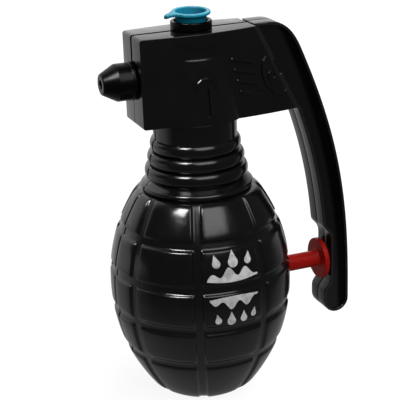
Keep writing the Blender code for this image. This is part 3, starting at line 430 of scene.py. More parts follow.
def turned(profile, axis="Z", centre=ORIGIN, sides=SIDES, hollow=False):
    """Turns (radius, height) pairs about an axis. A hollow profile is a closed outline clear of the axis."""
    points = [(radius, 0.0, height) for radius, height in profile]
    if not hollow:
        points = [(0.0, 0.0, points[0][2])] + points + [(0.0, 0.0, points[-1][2])]
    edges = [(i, i + 1) for i in range(len(points) - 1)]
    if hollow:
        edges.append((len(points) - 1, 0))
    mesh = bpy.data.meshes.new("profile")
    mesh.from_pydata(points, edges, [])
    shape = stand(mesh, Matrix.Translation(centre) @ AXIS_TURNS[axis])
    spin = shape.modifiers.new("spin", "SCREW")
    spin.steps = sides
    spin.render_steps = sides
    spin.use_merge_vertices = True
    spin.merge_threshold = WELD
    return solid_of(shape)


def cylinder(axis, centre, radius, start, end, sides=SIDES):
    bpy.ops.mesh.primitive_cylinder_add(vertices=sides, radius=radius, depth=end - start)
    shape = bpy.context.object
    middle = Matrix.Translation((0.0, 0.0, (start + end) / 2))
    shape.matrix_world = Matrix.Translation(centre) @ AXIS_TURNS[axis] @ middle
    return solid_of(shape)


def block(low, high):
    bpy.ops.mesh.primitive_cube_add(size=1.0)
    shape = bpy.context.object
    size = Vector(high) - Vector(low)
    middle = (Vector(high) + Vector(low)) / 2
    shape.matrix_world = Matrix.Translation(middle) @ Matrix.Diagonal((*size, 1.0))
    return solid_of(shape)


def add_line(curve, points):
    """Adds a straight-sided line to a curve."""
    spline = curve.splines.new("POLY")
    spline.points.add(len(points) - 1)
    for target, point in zip(spline.points, points):
        target.co = (*point, 1.0)
    return spline


def side_view(y):
    """Stands an outline of (x, z) points upright, at a distance from the parting plane."""
    return Matrix.Translation((0.0, y, 0.0)) @ SIDE_VIEW


def flat_solid(outlines, half, edge=0.0, place=SIDE_VIEW, steps=2):
    """A flat piece from an outline and any holes in it, with rounded edges, in side view by default."""
    curve = bpy.data.curves.new("outline", "CURVE")
    curve.dimensions = "2D"
    curve.fill_mode = "BOTH"
    curve.extrude = half - edge
    curve.bevel_depth = edge
    curve.bevel_resolution = steps
    curve.offset = -edge
    for outline in outlines:
        spline = add_line(curve, [(u, v, 0.0) for u, v in outline])
        spline.use_cyclic_u = True
    flat = solid_of(stand(curve, place))
    with editing(flat.data) as bm:
        bmesh.ops.dissolve_limit(bm, angle_limit=FLAT_ANGLE, verts=bm.verts, edges=bm.edges)
    return flat


def combine(target, tool, operation):
    """Applies a boolean to the target and removes the tool."""
    change = target.modifiers.new("boolean", "BOOLEAN")
    change.operation = operation
    change.object = tool
    graph = bpy.context.evaluated_depsgraph_get()
    result = bpy.data.meshes.new_from_object(target.evaluated_get(graph))
    target.modifiers.clear()
    target.data = result
    bpy.data.objects.remove(tool, do_unlink=True)
    return target


def join(target, *tools):
    for tool in tools:
        combine(target, tool, "UNION")
    return target


def cut(target, *tools):
    for tool in tools:
        combine(target, tool, "DIFFERENCE")
    return target


def keep(target, tool):
    return combine(target, tool, "INTERSECT")


def near_half(solid):
    """Keeps what lies on the side of the parting plane towards -Y."""
    return keep(solid, block((-WIDE, -WIDE, -WIDE), (WIDE, -SEAM_MEET, HEAD_TOP + WIDE)))


def mirrored(solid):
    """The mirror image of a solid in y = 0."""
    mesh = solid.data.copy()
    mesh.transform(Matrix.Scale(-1.0, 4, (0.0, 1.0, 0.0)))
    mesh.flip_normals()
    return stand(mesh)


def offset_outline(outline, distance):
    """Moves each point of a counter-clockwise outline inwards along its corner's bisector."""
    moved = []
    count = len(outline)
    for i in range(count):
        before = Vector(outline[i - 1])
        corner = Vector(outline[i])
        after = Vector(outline[(i + 1) % count])
        first = (corner - before).normalized()
        second = (after - corner).normalized()
        turn = first.angle(second)
        along = (first + second).normalized()
        reach = distance / max(math.cos(turn / 2), SHARPEST_TURN)
        moved.append((corner.x - along.y * reach, corner.y + along.x * reach))
    return moved


def arc(x, z, radius, start, end, count):
    """Points along part of a circle, from one angle to another in degrees, ends included."""
    points = []
    for i in range(count + 1):
        angle = math.radians(start + (end - start) * i / count)
        points.append((x + radius * math.cos(angle), z + radius * math.sin(angle)))
    return points


def placed(points, x, z, turn):
    """Turns points about the origin, by an angle in radians, and moves them."""
    c = math.cos(turn)
    s = math.sin(turn)
    return [(x + u * c - v * s, z + u * s + v * c) for u, v in points]


def ellipse(x, z, long, short, lean=0.0, count=64):
    angles = [2 * math.pi * i / count for i in range(count)]
    return placed([(short * math.cos(angle), long * math.sin(angle)) for angle in angles], x, z, lean)


def oval_line(x, z, long, short, width, lean=0.0, count=64):
    """Outer and inner outline of a line round an oval."""
    return [ellipse(x, z, long - inset, short - inset, lean, count) for inset in (0.0, width)]


def capsule(x0, z0, x1, z1, radius):
    course = math.degrees(math.atan2(z1 - z0, x1 - x0))
    far = arc(x1, z1, radius, course - 90, course + 90, 8)
    near = arc(x0, z0, radius, course + 90, course + 270, 8)
    return far + near


def body_radius(z):
    """Radius of the egg at a height, before any groove."""
    if z > BELT_HEIGHT:
        return BODY_RADIUS * (1 - ((z - BELT_HEIGHT) / UPPER_REACH) ** UPPER_POWER)
    radius = BODY_RADIUS * (1 - ((BELT_HEIGHT - z) / LOWER_REACH) ** LOWER_POWER)
    if z < BASE_EDGE:
        radius -= BASE_SETBACK * (1 - z / BASE_EDGE) ** BASE_POWER
    return radius


def groove_share(distance, wall):
    """How deep a groove is at a distance from its middle: crisp at the panel, soft at the floor."""
    t = (GROOVE_MIDDLE - abs(distance)) / wall + 0.5
    if t < EDGE_FILLET:
        return max(t + EDGE_FILLET, 0.0) ** 2 / (4 * EDGE_FILLET)
    if t > 1 - FLOOR_FILLET:
        return 1 - max(1 + FLOOR_FILLET - t, 0.0) ** 2 / (4 * FLOOR_FILLET)
    return t


def groove_stations(wall):
    """Distances from a groove's middle at which its rounded section is sampled, closest on its walls."""
    foot = GROOVE_MIDDLE - (0.5 + FLOOR_FILLET) * wall
    brim = GROOVE_MIDDLE + (0.5 + EDGE_FILLET) * wall
    outward = [foot / 2]
    for step in range(WALL_STEPS + 1):
        outward.append(foot + (brim - foot) * step / WALL_STEPS)
    return [-offset for offset in reversed(outward)] + [0.0] + outward


def seam_share(distance):
    """Depth of the line between the halves at a distance from it: two rounded lips that meet in a notch."""
    t = min(abs(distance) / SEAM_LIP, 1.0)
    return 1 - math.sqrt(1 - (1 - t) ** 2) if t < 1 else 0.0


def swell(radius, z, height, half_height):
    """Rows over one rounded ring of the neck."""
    rows = []
    for step in range(SWELL_STEPS + 1):
        angle = math.radians(-SWELL_ANGLE + 2 * SWELL_ANGLE / SWELL_STEPS * step)
        rows.append((radius - height + height * math.cos(angle), z + half_height * math.sin(angle), 0.0))
    return rows


def panel_rows():
    """(radius, height, row groove share) up the panels, from above the base to under the collar."""
    rows = []
    low = BASE_EDGE
    for groove in range(ROW_GROOVES + 1):
        middle = LOWEST_GROOVE + GROOVE_PITCH * groove
        wall = SOFT_WALL if groove < ROW_GROOVES / 2 else CRISP_WALL
        stations = groove_stations(wall)
        high = middle - stations[-1] if groove < ROW_GROOVES else PANEL_TOP - 2 * PANEL_EDGE
        for step in range(1, PANEL_STEPS):
            z = low + (high - low) * step / PANEL_STEPS
            rows.append((body_radius(z), z, 0.0))
        if groove < ROW_GROOVES:
            for offset in stations:
                rows.append((body_radius(middle + offset), middle + offset, groove_share(offset, wall)))
        low = middle + stations[-1]
    return rows


def body_rows():
    """(radius, height, row groove share, upright groove weight) from the base to inside the head."""
    rows = []
    for step in range(PANEL_STEPS + 1):
        z = BASE_EDGE * step / PANEL_STEPS
        rows.append((body_radius(z) - BASE_ROUND * (1 - min(z / BASE_ROUND, 1.0)) ** 2, z, 0.0, 1.0))
    rows.extend((radius, z, share, 1.0) for radius, z, share in panel_rows())
    for step in range(TOP_STEPS + 1):
        angle = math.radians(90 / TOP_STEPS * step)
        z = PANEL_TOP - 2 * PANEL_EDGE * (1 - math.sin(angle))
        drop = PANEL_EDGE * (1 - math.cos(angle))
        weight = math.cos(angle) * (1 - TOP_GROOVE_SHARE) + TOP_GROOVE_SHARE
        rows.append((body_radius(z) - drop, z, 0.0, weight))
    neck = swell(COLLAR_RADIUS, PANEL_TOP + COLLAR_RISE, COLLAR_SWELL, COLLAR_HALF_HEIGHT)
    for ring in range(RING_COUNT):
        height = PANEL_TOP + RING_RISE + RING_PITCH * ring
        neck.extend(swell(RING_RADIUS - RING_STEP * ring, height, RING_SWELL, RING_PITCH / 2))
    root = HEAD_BOTTOM - NECK_LENGTH + RING_PITCH / 2
    neck.append((NECK_RADIUS, root + NECK_FOOT, 0.0))
    neck.append((NECK_RADIUS, HEAD_BOTTOM + HEAD_EDGE, 0.0))
    rows.extend((radius, z, 0.0, 0.0) for radius, z, share in neck)
    return rows


def column_angles(radius):
    """(angle, groove share, seam share) of each point round one row. Grooves and seam keep their width."""
    spacing = 2 * math.pi / PANEL_COLUMNS
    stations = groove_stations(CRISP_WALL)
    edge = stations[-1] / radius
    lip = SEAM_LIP / radius
    angles = []
    for column in range(PANEL_COLUMNS):
        start = spacing * (column - 0.5)
        parted = column % (PANEL_COLUMNS // 2) == 0
        angles.extend((start + offset / radius, groove_share(offset, CRISP_WALL), 0.0) for offset in stations)
        flank = spacing / 2 - edge - lip
        near = [(start + edge + flank * step / PANEL_STEPS, 0.0, 0.0) for step in range(1, PANEL_STEPS)]
        angles.extend(near)
        middle = spacing * column
        for offset in SEAM_STATIONS:
            angles.append((middle + offset / radius, 0.0, seam_share(offset) if parted else 0.0))
        angles.extend((2 * middle - angle, 0.0, 0.0) for angle, share, seam in reversed(near))
    return angles


def body_solid():
    """The panelled egg and the ringed neck, from a grid wrapped round the axis."""
    rows = body_rows()
    angles = [column_angles(row[0]) for row in rows]
    columns = len(angles[0])
    bm = bmesh.new()
    bmesh.ops.create_grid(bm, x_segments=columns, y_segments=len(rows) - 1, size=1.0)
    for vertex in bm.verts:
        column = round((vertex.co.x + 1) / 2 * columns) % columns
        row = round((vertex.co.y + 1) / 2 * (len(rows) - 1))
        radius, z, across, weight = rows[row]
        angle, share, seam = angles[row][column]
        radius -= GROOVE_DEPTH * (1 - (1 - across) * (1 - share * weight))
        radius -= SEAM_DEPTH * seam
        vertex.co = (radius * math.cos(angle), radius * math.sin(angle), z)
    bmesh.ops.remove_doubles(bm, verts=bm.verts, dist=WELD)
    bmesh.ops.holes_fill(bm, edges=[edge for edge in bm.edges if edge.is_boundary])
    mesh = bpy.data.meshes.new("body")
    bm.to_mesh(mesh)
    bm.free()
    return solid_of(stand(mesh))


def rear_x(z):
    """Where the slanted back of the head lies at a height."""
    return HEAD_REAR - HEAD_SLOPE * (z - HEAD_BOTTOM)


def head_block(low, high, front, back_inset, near, far):
    """A block with the head's slanted back."""
    shape = block((front, near, low), (HEAD_REAR, far, high))
    for vertex in shape.data.vertices:
        if vertex.co.x > front + WELD:
            vertex.co.x = rear_x(vertex.co.z) - back_inset
    return shape


def flare(growth):
    """The oval cone at the head's foot, wider or narrower by a growth."""
    profile = [
        (FLARE_FLAT, FLARE_TOP),
        (FLARE_TOP_RADIUS + growth, FLARE_TOP),
        (FLARE_BOTTOM_RADIUS + growth, HEAD_BOTTOM),
    ]
    solid = turned(rounded(profile, FLARE_EDGE * 2), sides=FLARE_SIDES)
    for vertex in solid.data.vertices:
        vertex.co.x *= FLARE_SPREAD
    return solid


def arch_bead():
    """A round bead in an arch over the flare."""
    spread = (FLARE_BOTTOM_RADIUS - FLARE_TOP_RADIUS) / (FLARE_TOP - HEAD_BOTTOM)
    curve = bpy.data.curves.new("bead", "CURVE")
    curve.dimensions = "3D"
    curve.bevel_depth = ARCH_LINE / 2
    curve.use_fill_caps = True
    line = []
    for x, z in arc(0.0, HEAD_BOTTOM + ARCH_RISE, ARCH_RADIUS - ARCH_LINE / 2, 0, 180, 24):
        radius = FLARE_TOP_RADIUS + spread * (FLARE_TOP - z)
        line.append((x, -math.sqrt(radius**2 - (x / FLARE_SPREAD) ** 2), z))
    add_line(curve, line)
    return solid_of(stand(curve))


def relief(outlines, height, edge=RELIEF_ROUND):
    """A moulding that stands proud of the side of the head towards -Y."""
    return flat_solid(outlines, RELIEF_ROOT + height, edge, side_view(-HEAD_HALF + RELIEF_ROOT))


def head_outline():
    """Side view of the head, counter-clockwise, with softly rounded corners at the front."""
    chin = (-HEAD_FRONT, HEAD_BOTTOM)
    heel = (HEAD_REAR, HEAD_BOTTOM)
    back = (rear_x(HEAD_TOP), HEAD_TOP)
    brow = (-HEAD_FRONT, HEAD_TOP)
    chin_round = rounded([brow, chin, heel], HEAD_CORNER)[1:-1]
    brow_round = rounded([back, brow, chin], HEAD_CORNER)[1:-1]
    return chin_round + [heel, back] + brow_round


def head_mouldings():
    """The flare, and what stands proud of the side: an oval with an eye, ribs, a low pad and an arch."""
    lean = math.atan(HEAD_SLOPE)
    oval_x = PIVOT_X + OVAL_SHIFT
    oval = relief(oval_line(oval_x, PIVOT_Z, OVAL_LONG, OVAL_SHORT, OVAL_LINE, lean), RELIEF_HEIGHT)
    keep(oval, head_block(HEAD_BOTTOM, HEAD_TOP, -HEAD_FRONT, HEAD_EDGE / 2, -WIDE, WIDE))
    eye = oval_line(PIVOT_X, PIVOT_Z, EYE_RADIUS, EYE_RADIUS, EYE_LINE, count=32)
    details = [flare(0.0), oval, relief(eye, EYE_HEIGHT)]
    for row in range(RIB_COUNT):
        z = HEAD_TOP - RIB_TOP_DROP - RIB_PITCH * row
        x = rear_x(z) - RIB_SETBACK - (RIB_PITCH * HEAD_SLOPE - RIB_SHIFT) * row
        bar = capsule(x, z, x + RIB_LENGTH, z - RIB_DROP, RIB_RADIUS)
        details.append(relief([bar], RIB_HEIGHT, RELIEF_ROUND * 2))
    pad = relief([ellipse(PAD_SHIFT, HEAD_TOP, PAD_SHORT, PAD_LONG)], PAD_HEIGHT)
    details.append(keep(pad, block((-WIDE, -WIDE, HEAD_BOTTOM), (WIDE, WIDE, HEAD_TOP - HEAD_EDGE))))
    details.append(arch_bead())
    return details


def head_grooves():
    """The slot down the flare, and the line that stays open between the halves, finer below the nozzle."""
    foot = HEAD_BOTTOM + SLOT_RISE
    slot = relief([capsule(0.0, foot, 0.0, foot + SLOT_LENGTH, SLOT_RADIUS)], WIDE, 0.0)
    grooves = [cut(slot, flare(-SLOT_DEPTH))]
    front = PARTING_DEPTH - HEAD_FRONT
    for half, low, high in (
        (PARTING_FINE, HEAD_BOTTOM - OVERSHOOT, NOZZLE_Z),
        (PARTING_HALF, NOZZLE_Z, HEAD_TOP + OVERSHOOT),
    ):
        line = block((-WIDE, -half, low), (WIDE, WIDE, high))
        core = head_block(HEAD_BOTTOM - WIDE, HEAD_TOP - PARTING_DEPTH, front, PARTING_DEPTH, -WIDE, 2 * WIDE)
        grooves.append(cut(line, core, flare(-PARTING_DEPTH)))
    return grooves


def bowed(head):
    """Bows the side of the head out in plan, and draws it in towards the lever."""
    with editing(head.data) as bm:
        for step in range(1, BOW_STEPS):
            x = -HEAD_FRONT + (HEAD_REAR + HEAD_FRONT) * step / BOW_STEPS
            whole = bm.verts[:] + bm.edges[:] + bm.faces[:]
            bmesh.ops.bisect_plane(bm, geom=whole, plane_co=(x, 0.0, 0.0), plane_no=(1.0, 0.0, 0.0))
        for vertex in bm.verts:
            along = (vertex.co.x + HEAD_FRONT) / (rear_x(vertex.co.z) + HEAD_FRONT)
            share = min(max(along, 0.0), 1.0)
            bow = SIDE_SWELL * math.sin(math.pi * share) - REAR_DRAW * share**REAR_DRAW_POWER
            vertex.co.y -= bow * min(-vertex.co.y / HEAD_HALF, 1.0)
    return head


def head_solid():
    """The head's half towards -Y with its mouldings, before it is joined to the body."""
    half = HEAD_HALF / 2
    head = flat_solid([head_outline()], half, HEAD_EDGE, side_view(-half), 4)
    join(head, *head_mouldings())
    return bowed(cut(head, *head_grooves()))


def cavity_profile():
    """Profile of the tank, a shell below the panels, and the neck's bore."""
    shoulder = PANEL_TOP - SHELL_DEPTH
    profile = [
        (NECK_BORE, HEAD_BOTTOM + HEAD_WALL + OVERSHOOT),
        (NECK_BORE, PANEL_TOP + SHELL_DEPTH),
    ]
    levels = 17
    for level in range(levels):
        z = shoulder + (FLOOR_THICKNESS - shoulder) * level / (levels - 1)
        profile.append((body_radius(z) - SHELL_DEPTH, z))
    return profile


def cavity_solid():
    """Everything that is hollow or open in the casing."""
    head_floor = HEAD_BOTTOM + HEAD_WALL
    head_roof = HEAD_TOP - HEAD_WALL
    hollow = turned(cavity_profile(), sides=48)
    bulkhead = POCKET_DEPTH + HEAD_WALL
    side = HEAD_HALF - HEAD_WALL
    join(hollow, head_block(head_floor, head_roof, WALL_INSIDE, bulkhead, -side, side))
    low = HEAD_BOTTOM - OVERSHOOT
    pocket = [
        (rear_x(low) - POCKET_DEPTH, low),
        (rear_x(low) + POCKET_DEPTH, low),
        (rear_x(head_roof) + POCKET_DEPTH, head_roof),
        (rear_x(head_roof) - POCKET_DEPTH, head_roof),
    ]
    nose_start = BODY_RADIUS - 2 * SHELL_DEPTH
    pin_reach = HEAD_HALF - PIN_COVER
    join(
        hollow,
        flat_solid([pocket], POCKET_HALF),
        cylinder("X", NOZZLE_AXIS, STEM_RADIUS + GAP, -HEAD_FRONT - OVERSHOOT, WALL_INSIDE + OVERSHOOT),
        cylinder("Z", ORIGIN, SPOUT_STEM + GAP, head_roof - OVERSHOOT, HEAD_TOP + OVERSHOOT),
        cylinder("X", PUMP_AXIS, NOSE_HOLE, nose_start, BODY_RADIUS + OVERSHOOT),
        cylinder("Y", PIN_AXIS, PIN_RADIUS + GAP, -pin_reach, pin_reach, 32),
    )
    return hollow


def casing_half():
    """The half of the casing towards -Y, with rounded lips where it meets the other half."""
    shell = join(body_solid(), head_solid())
    return near_half(cut(shell, cavity_solid()))


def lever_back():
    """Points down the outer side of the lever, from the top front corner to the straight foot."""
    crest = HEAD_TOP + LEVER_CREST
    shoulder = Vector((HEAD_REAR + SHOULDER_BACK, HEAD_TOP - SHOULDER_DROP))
    slope = Vector((1.0, -SHOULDER_SLOPE)).normalized()
    foot = Vector((LEVER_REACH, FOOT_TOP))
    crown = Vector((rear_x(crest) + LEVER_GAP + LEVER_CROWN, crest))
    leaving = crown + Vector((CROWN_HANDLE, 0.0))
    upper = interpolate_bezier(crown, leaving, shoulder - slope * CROWN_HANDLE, shoulder, 20)
    arriving = foot + Vector((0.0, FOOT_HANDLE))
    lower = interpolate_bezier(shoulder, shoulder + slope * SHOULDER_HANDLE, arriving, foot, 48)
    return upper[:-1] + lower


def lever_outline():
    """Side view of the lever, counter-clockwise, with a round lug on the pivot."""
    lean = math.atan(HEAD_SLOPE)
    back = lever_back()
    outline = [(point.x, point.y) for point in reversed(back)]
    top = HEAD_TOP + LEVER_CREST
    outline.append((rear_x(top) + LEVER_GAP, top))
    away = (rear_x(PIVOT_Z) + LEVER_GAP - PIVOT_X) * math.cos(lean)
    foot_z = PIVOT_Z + away * math.sin(lean)
    chord = math.sqrt(LUG_RADIUS**2 - away**2) + LEVER_RIM
    high = foot_z + chord * math.cos(lean)
    low = foot_z - chord * math.cos(lean)
    outline.append((rear_x(high) + LEVER_GAP, high))
    turn = math.degrees(lean)
    outline.extend(arc(PIVOT_X, PIVOT_Z, LUG_RADIUS, LUG_START + turn, LUG_END + turn, 24))
    outline.append((rear_x(low) + LEVER_GAP, low))
    outline.append((HEAD_REAR + LEVER_GAP, HEAD_BOTTOM))

    recess_top = PUMP_Z + RECESS_ABOVE
    recess_bottom = PUMP_Z - RECESS_BELOW
    ramp_top = recess_top + RECESS_RAMP
    for before, point in zip(back, back[1:]):
        along = (point - before).normalized()
        inner = point + Vector((along.y, -along.x)) * LEVER_DEPTH
        if ramp_top + LEVER_RIM < inner.y < HEAD_BOTTOM - LEVER_GAP:
            outline.append((inner.x, inner.y))
    front = LEVER_REACH - LEVER_DEPTH - FOOT_SWELL
    end = (LEVER_DEPTH + FOOT_SWELL) / 2
    corners = [
        outline[-1],
        (outline[-1][0] + (front - outline[-1][0]) / 2, ramp_top),
        (RECESS_FLOOR, recess_top),
        (RECESS_FLOOR, recess_bottom),
        (front, recess_bottom - RECESS_LIP),
        (front, LEVER_FOOT + end),
    ]
    outline.extend(rounded(corners, RECESS_ROUND)[1:-1])
    outline.extend(arc(front + end, LEVER_FOOT + end, end, 180, 360, 32))
    return outline


def lever_half_solid():
    """The half of the lever towards -Y: a round-edged rim about a sunk side wall, hollow behind it."""
    outline = lever_outline()
    inset = offset_outline(outline, LEVER_RIM)
    middle = offset_outline(outline, LEVER_RIM / 2)
    half = LEVER_HALF / 2
    lever = flat_solid([outline, inset], half, LEVER_EDGE, side_view(-half), 3)
    side = (LEVER_HALF - LEVER_SINK) / 2
    join(lever, flat_solid([middle], side, place=side_view(-side)))
    hollow = flat_solid([offset_outline(outline, LEVER_WALL)], 2 * side - LEVER_WALL)
    cut(hollow, cylinder("Y", PIN_AXIS, LUG_RADIUS, -LEVER_HALF, LEVER_HALF, 48))
    cut(lever, hollow)
    cut(lever, cylinder("Y", PIN_AXIS, PIN_RADIUS + GAP, -HEAD_HALF, HEAD_HALF, 32))
    return near_half(lever)


def plunger():
    """Rod with a flange and a low dome that the lever pushes on, and a spigot for the piston."""
    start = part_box("plunger")[0].x
    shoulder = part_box("piston")[1].x + GAP
    dome = []
    for step in range(1, DOME_STEPS + 1):
        angle = math.radians(DOME_TURN * step)
        dome.append((DOME_RADIUS * math.sin(angle), FLANGE_BACK + DOME_HEIGHT * math.cos(angle)))
    body = [
        (DOME_RADIUS, FLANGE_BACK),
        (FLANGE_RADIUS, FLANGE_BACK),
        (FLANGE_RADIUS, FLANGE_FRONT),
        (ROD_RADIUS + ROD_FILLET, FLANGE_FRONT),
        (ROD_RADIUS, FLANGE_FRONT - ROD_FILLET),
        (ROD_RADIUS, shoulder),
        (SPIGOT_RADIUS, shoulder),
        (SPIGOT_RADIUS, start),
    ]
    return turned(dome + rounded(body, CORNER_ROUND), "X", PUMP_AXIS)


def nozzle():
    """Cone with a jet hole, held in the front wall by its stem and collar, with a barb for the hose."""
    face = -HEAD_FRONT - GAP
    tip = -HEAD_FRONT - NOZZLE_LENGTH
    cone = tip + NOZZLE_CONE
    barb_end = NOZZLE_COLLAR_BACK + BARB_LENGTH
    profile = [
        (JET_RADIUS, tip),
        (NOZZLE_TIP_RADIUS, tip),
        (NOZZLE_RADIUS, cone),
        (NOZZLE_RADIUS, face - NOZZLE_FOOT - NOZZLE_FOOT_STEP),
        (NOZZLE_RADIUS + NOZZLE_FOOT_STEP, face - NOZZLE_FOOT),
        (NOZZLE_RADIUS + NOZZLE_FOOT_STEP, face),
        (STEM_RADIUS, face),
        (STEM_RADIUS, NOZZLE_COLLAR_FRONT),
        (NOZZLE_COLLAR_RADIUS, NOZZLE_COLLAR_FRONT),
        (NOZZLE_COLLAR_RADIUS, NOZZLE_COLLAR_BACK),
        (BARB_RADIUS, NOZZLE_COLLAR_BACK),
        (BARB_RADIUS, barb_end),
        (BARB_BORE, barb_end),
        (BARB_BORE, tip + JET_DEPTH),
        (JET_RADIUS, tip + JET_DEPTH - GAP),
    ]
    return turned(rounded(profile, CORNER_ROUND, closed=True), "X", NOZZLE_AXIS, hollow=True)


def filler_spout():
    """Short tube with a round brim and a square foot on the head's top."""
    seat = HEAD_TOP + GAP
    bottom = HEAD_TOP - SPOUT_DEPTH
    brim = [
        (SPOUT_BORE, SPOUT_TOP - SPOUT_TAPER),
        (SPOUT_MOUTH, SPOUT_TOP),
        (SPOUT_RADIUS, SPOUT_TOP),
        (SPOUT_RADIUS, seat),
    ]
    stem = [(SPOUT_STEM, seat), (SPOUT_STEM, bottom), (SPOUT_BORE, bottom)]
    return turned(rounded(brim, CORNER_ROUND * 1.5) + stem, hollow=True)


def plug_outline():
    """The flange seen from above: a disc drawn out into a tab with hollow flanks."""
    root = math.radians(PLUG_TAB_ROOT)
    start = Vector((-math.cos(root), math.sin(root))) * PLUG_RADIUS
    along = Vector((-math.sin(root), -math.cos(root)))
    end = Vector((-PLUG_TAB_REACH + PLUG_TAB_TIP, PLUG_TAB_TIP))
    before = end + Vector((PLUG_TAB_SWEEP, 0.0))
    flank = interpolate_bezier(start, start + along * PLUG_TAB_SWEEP, before, end, 16)
    upper = [(point.x, point.y) for point in flank]
    tip = arc(end.x, 0.0, PLUG_TAB_TIP, 90, 270, 12)
    lower = [(u, -v) for u, v in reversed(upper)]
    return arc(0.0, 0.0, PLUG_RADIUS, PLUG_TAB_ROOT - 180, 180 - PLUG_TAB_ROOT, 96) + upper + tip + lower


def tilt(solid, floor):
    """Leans what lies above a height a little towards -Y, as the soft flange sits."""
    for vertex in solid.data.vertices:
        if vertex.co.z > floor - WELD:
            vertex.co.z += PLUG_TILT * (vertex.co.y - PLUG_RADIUS)
    return solid


def filler_plug():
    """Hollow tapered stopper with a round-lipped flange drawn out into a drooping pull tab."""
    level = Matrix.Translation((0.0, 0.0, (PLUG_UNDER + PLUG_TOP) / 2))
    plug = flat_solid([plug_outline()], PLUG_FLANGE / 2, PLUG_EDGE, level, 4)
    low = SPOUT_TOP - SPOUT_TAPER
    narrow = SPOUT_BORE - GAP
    spread = (SPOUT_MOUTH - SPOUT_BORE) / SPOUT_TAPER
    wide = narrow + spread * (PLUG_UNDER - low) - GAP
    skirt = [(wide, PLUG_UNDER + PLUG_EDGE), (narrow, low + PLUG_CHAMFER), (narrow - PLUG_CHAMFER, low)]
    join(plug, turned(skirt))
    tilt(plug, PLUG_UNDER)
    for vertex in plug.data.vertices:
        beyond = -vertex.co.x - PLUG_BEND_START
        if beyond > 0:
            vertex.co.z -= PLUG_BEND * (beyond / (PLUG_TAB_REACH - PLUG_BEND_START)) ** 2
    bowl = [
        (PLUG_MOUTH + PLUG_CHAMFER, PLUG_TOP + OVERSHOOT),
        (PLUG_MOUTH + PLUG_CHAMFER, PLUG_TOP),
        (PLUG_MOUTH, PLUG_TOP - PLUG_CHAMFER),
        (narrow - PLUG_WALL, low + PLUG_FLOOR),
        (PLUG_CHAMFER, low + PLUG_FLOOR),
    ]
    hollow = turned(rounded(bowl, CORNER_ROUND / 2))
    return cut(plug, tilt(hollow, PLUG_TOP - PLUG_CHAMFER - CORNER_ROUND))


def drop_outline(x, z, size, lean):
    """A falling water drop: a round end and a drawn-out point."""
    points = arc(0.0, 0.0, size, -180 - DROP_OPENING, DROP_OPENING, 24)
    points.append((0.0, size * DROP_POINT))
    return placed(points, x, z, math.radians(lean))


def wave_outline(z, width, height, flip):
    """A strip of rolling waves, with its crests up or down, on a foot that sags."""
    steps = 48
    crest = []
    for i in range(steps + 1):
        u = i / steps
        swing = math.sin(u * 2 * WAVE_COUNT * math.pi) * WAVE_SWING + (1 - WAVE_SWING)
        taper = math.sin(u * math.pi) ** 0.5
        crest.append((width * (u - 0.5), z + flip * height * swing * taper))
    foot = []
    for i in range(1, 8):
        foot.append((width * (0.5 - i / 8), z - flip * height * WAVE_SAG * math.sin(math.pi * i / 8)))
    outline = crest + foot
    return outline if flip > 0 else list(reversed(outline))


def piece(name, solid, body, surface, nodes=()):
    """Names a finished solid, smooths it, and lets it ride in place of the nodes that it stands for."""
    mesh = solid.data
    mesh.materials.clear()
    mesh.materials.append(surface)
    mesh.shade_smooth()
    mesh.set_sharp_from_angle(angle=SMOOTH_ANGLE)
    solid.name = name
    mesh.name = name
    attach(solid, body)
    if nodes:
        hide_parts(*nodes)
    return solid


def water_print(name, surface, row, wave, drops):
    """A thin print of waves and drops that hugs the side of the body towards -Y."""
    middle = LOWEST_GROOVE + GROOVE_PITCH * row
    width, height, rise, flip = wave
    outlines = [wave_outline(middle + rise, width, height, flip)]
    outlines.extend(drop_outline(x, middle + over, size, lean) for x, over, size, lean in drops)
    marks = [flat_solid([outline], BODY_RADIUS / 2, place=side_view(-BODY_RADIUS)) for outline in outlines]
    levels = 61
    heights = [PANEL_TOP - (PANEL_TOP - BASE_EDGE) * i / (levels - 1) for i in range(levels)]
    skins = []
    for growth in (PRINT_RAISE, -PRINT_RAISE):
        skins.append(turned([(body_radius(z) + growth, z) for z in heights], sides=256))
    piece(name, keep(join(*marks), cut(*skins)), "casing", surface)


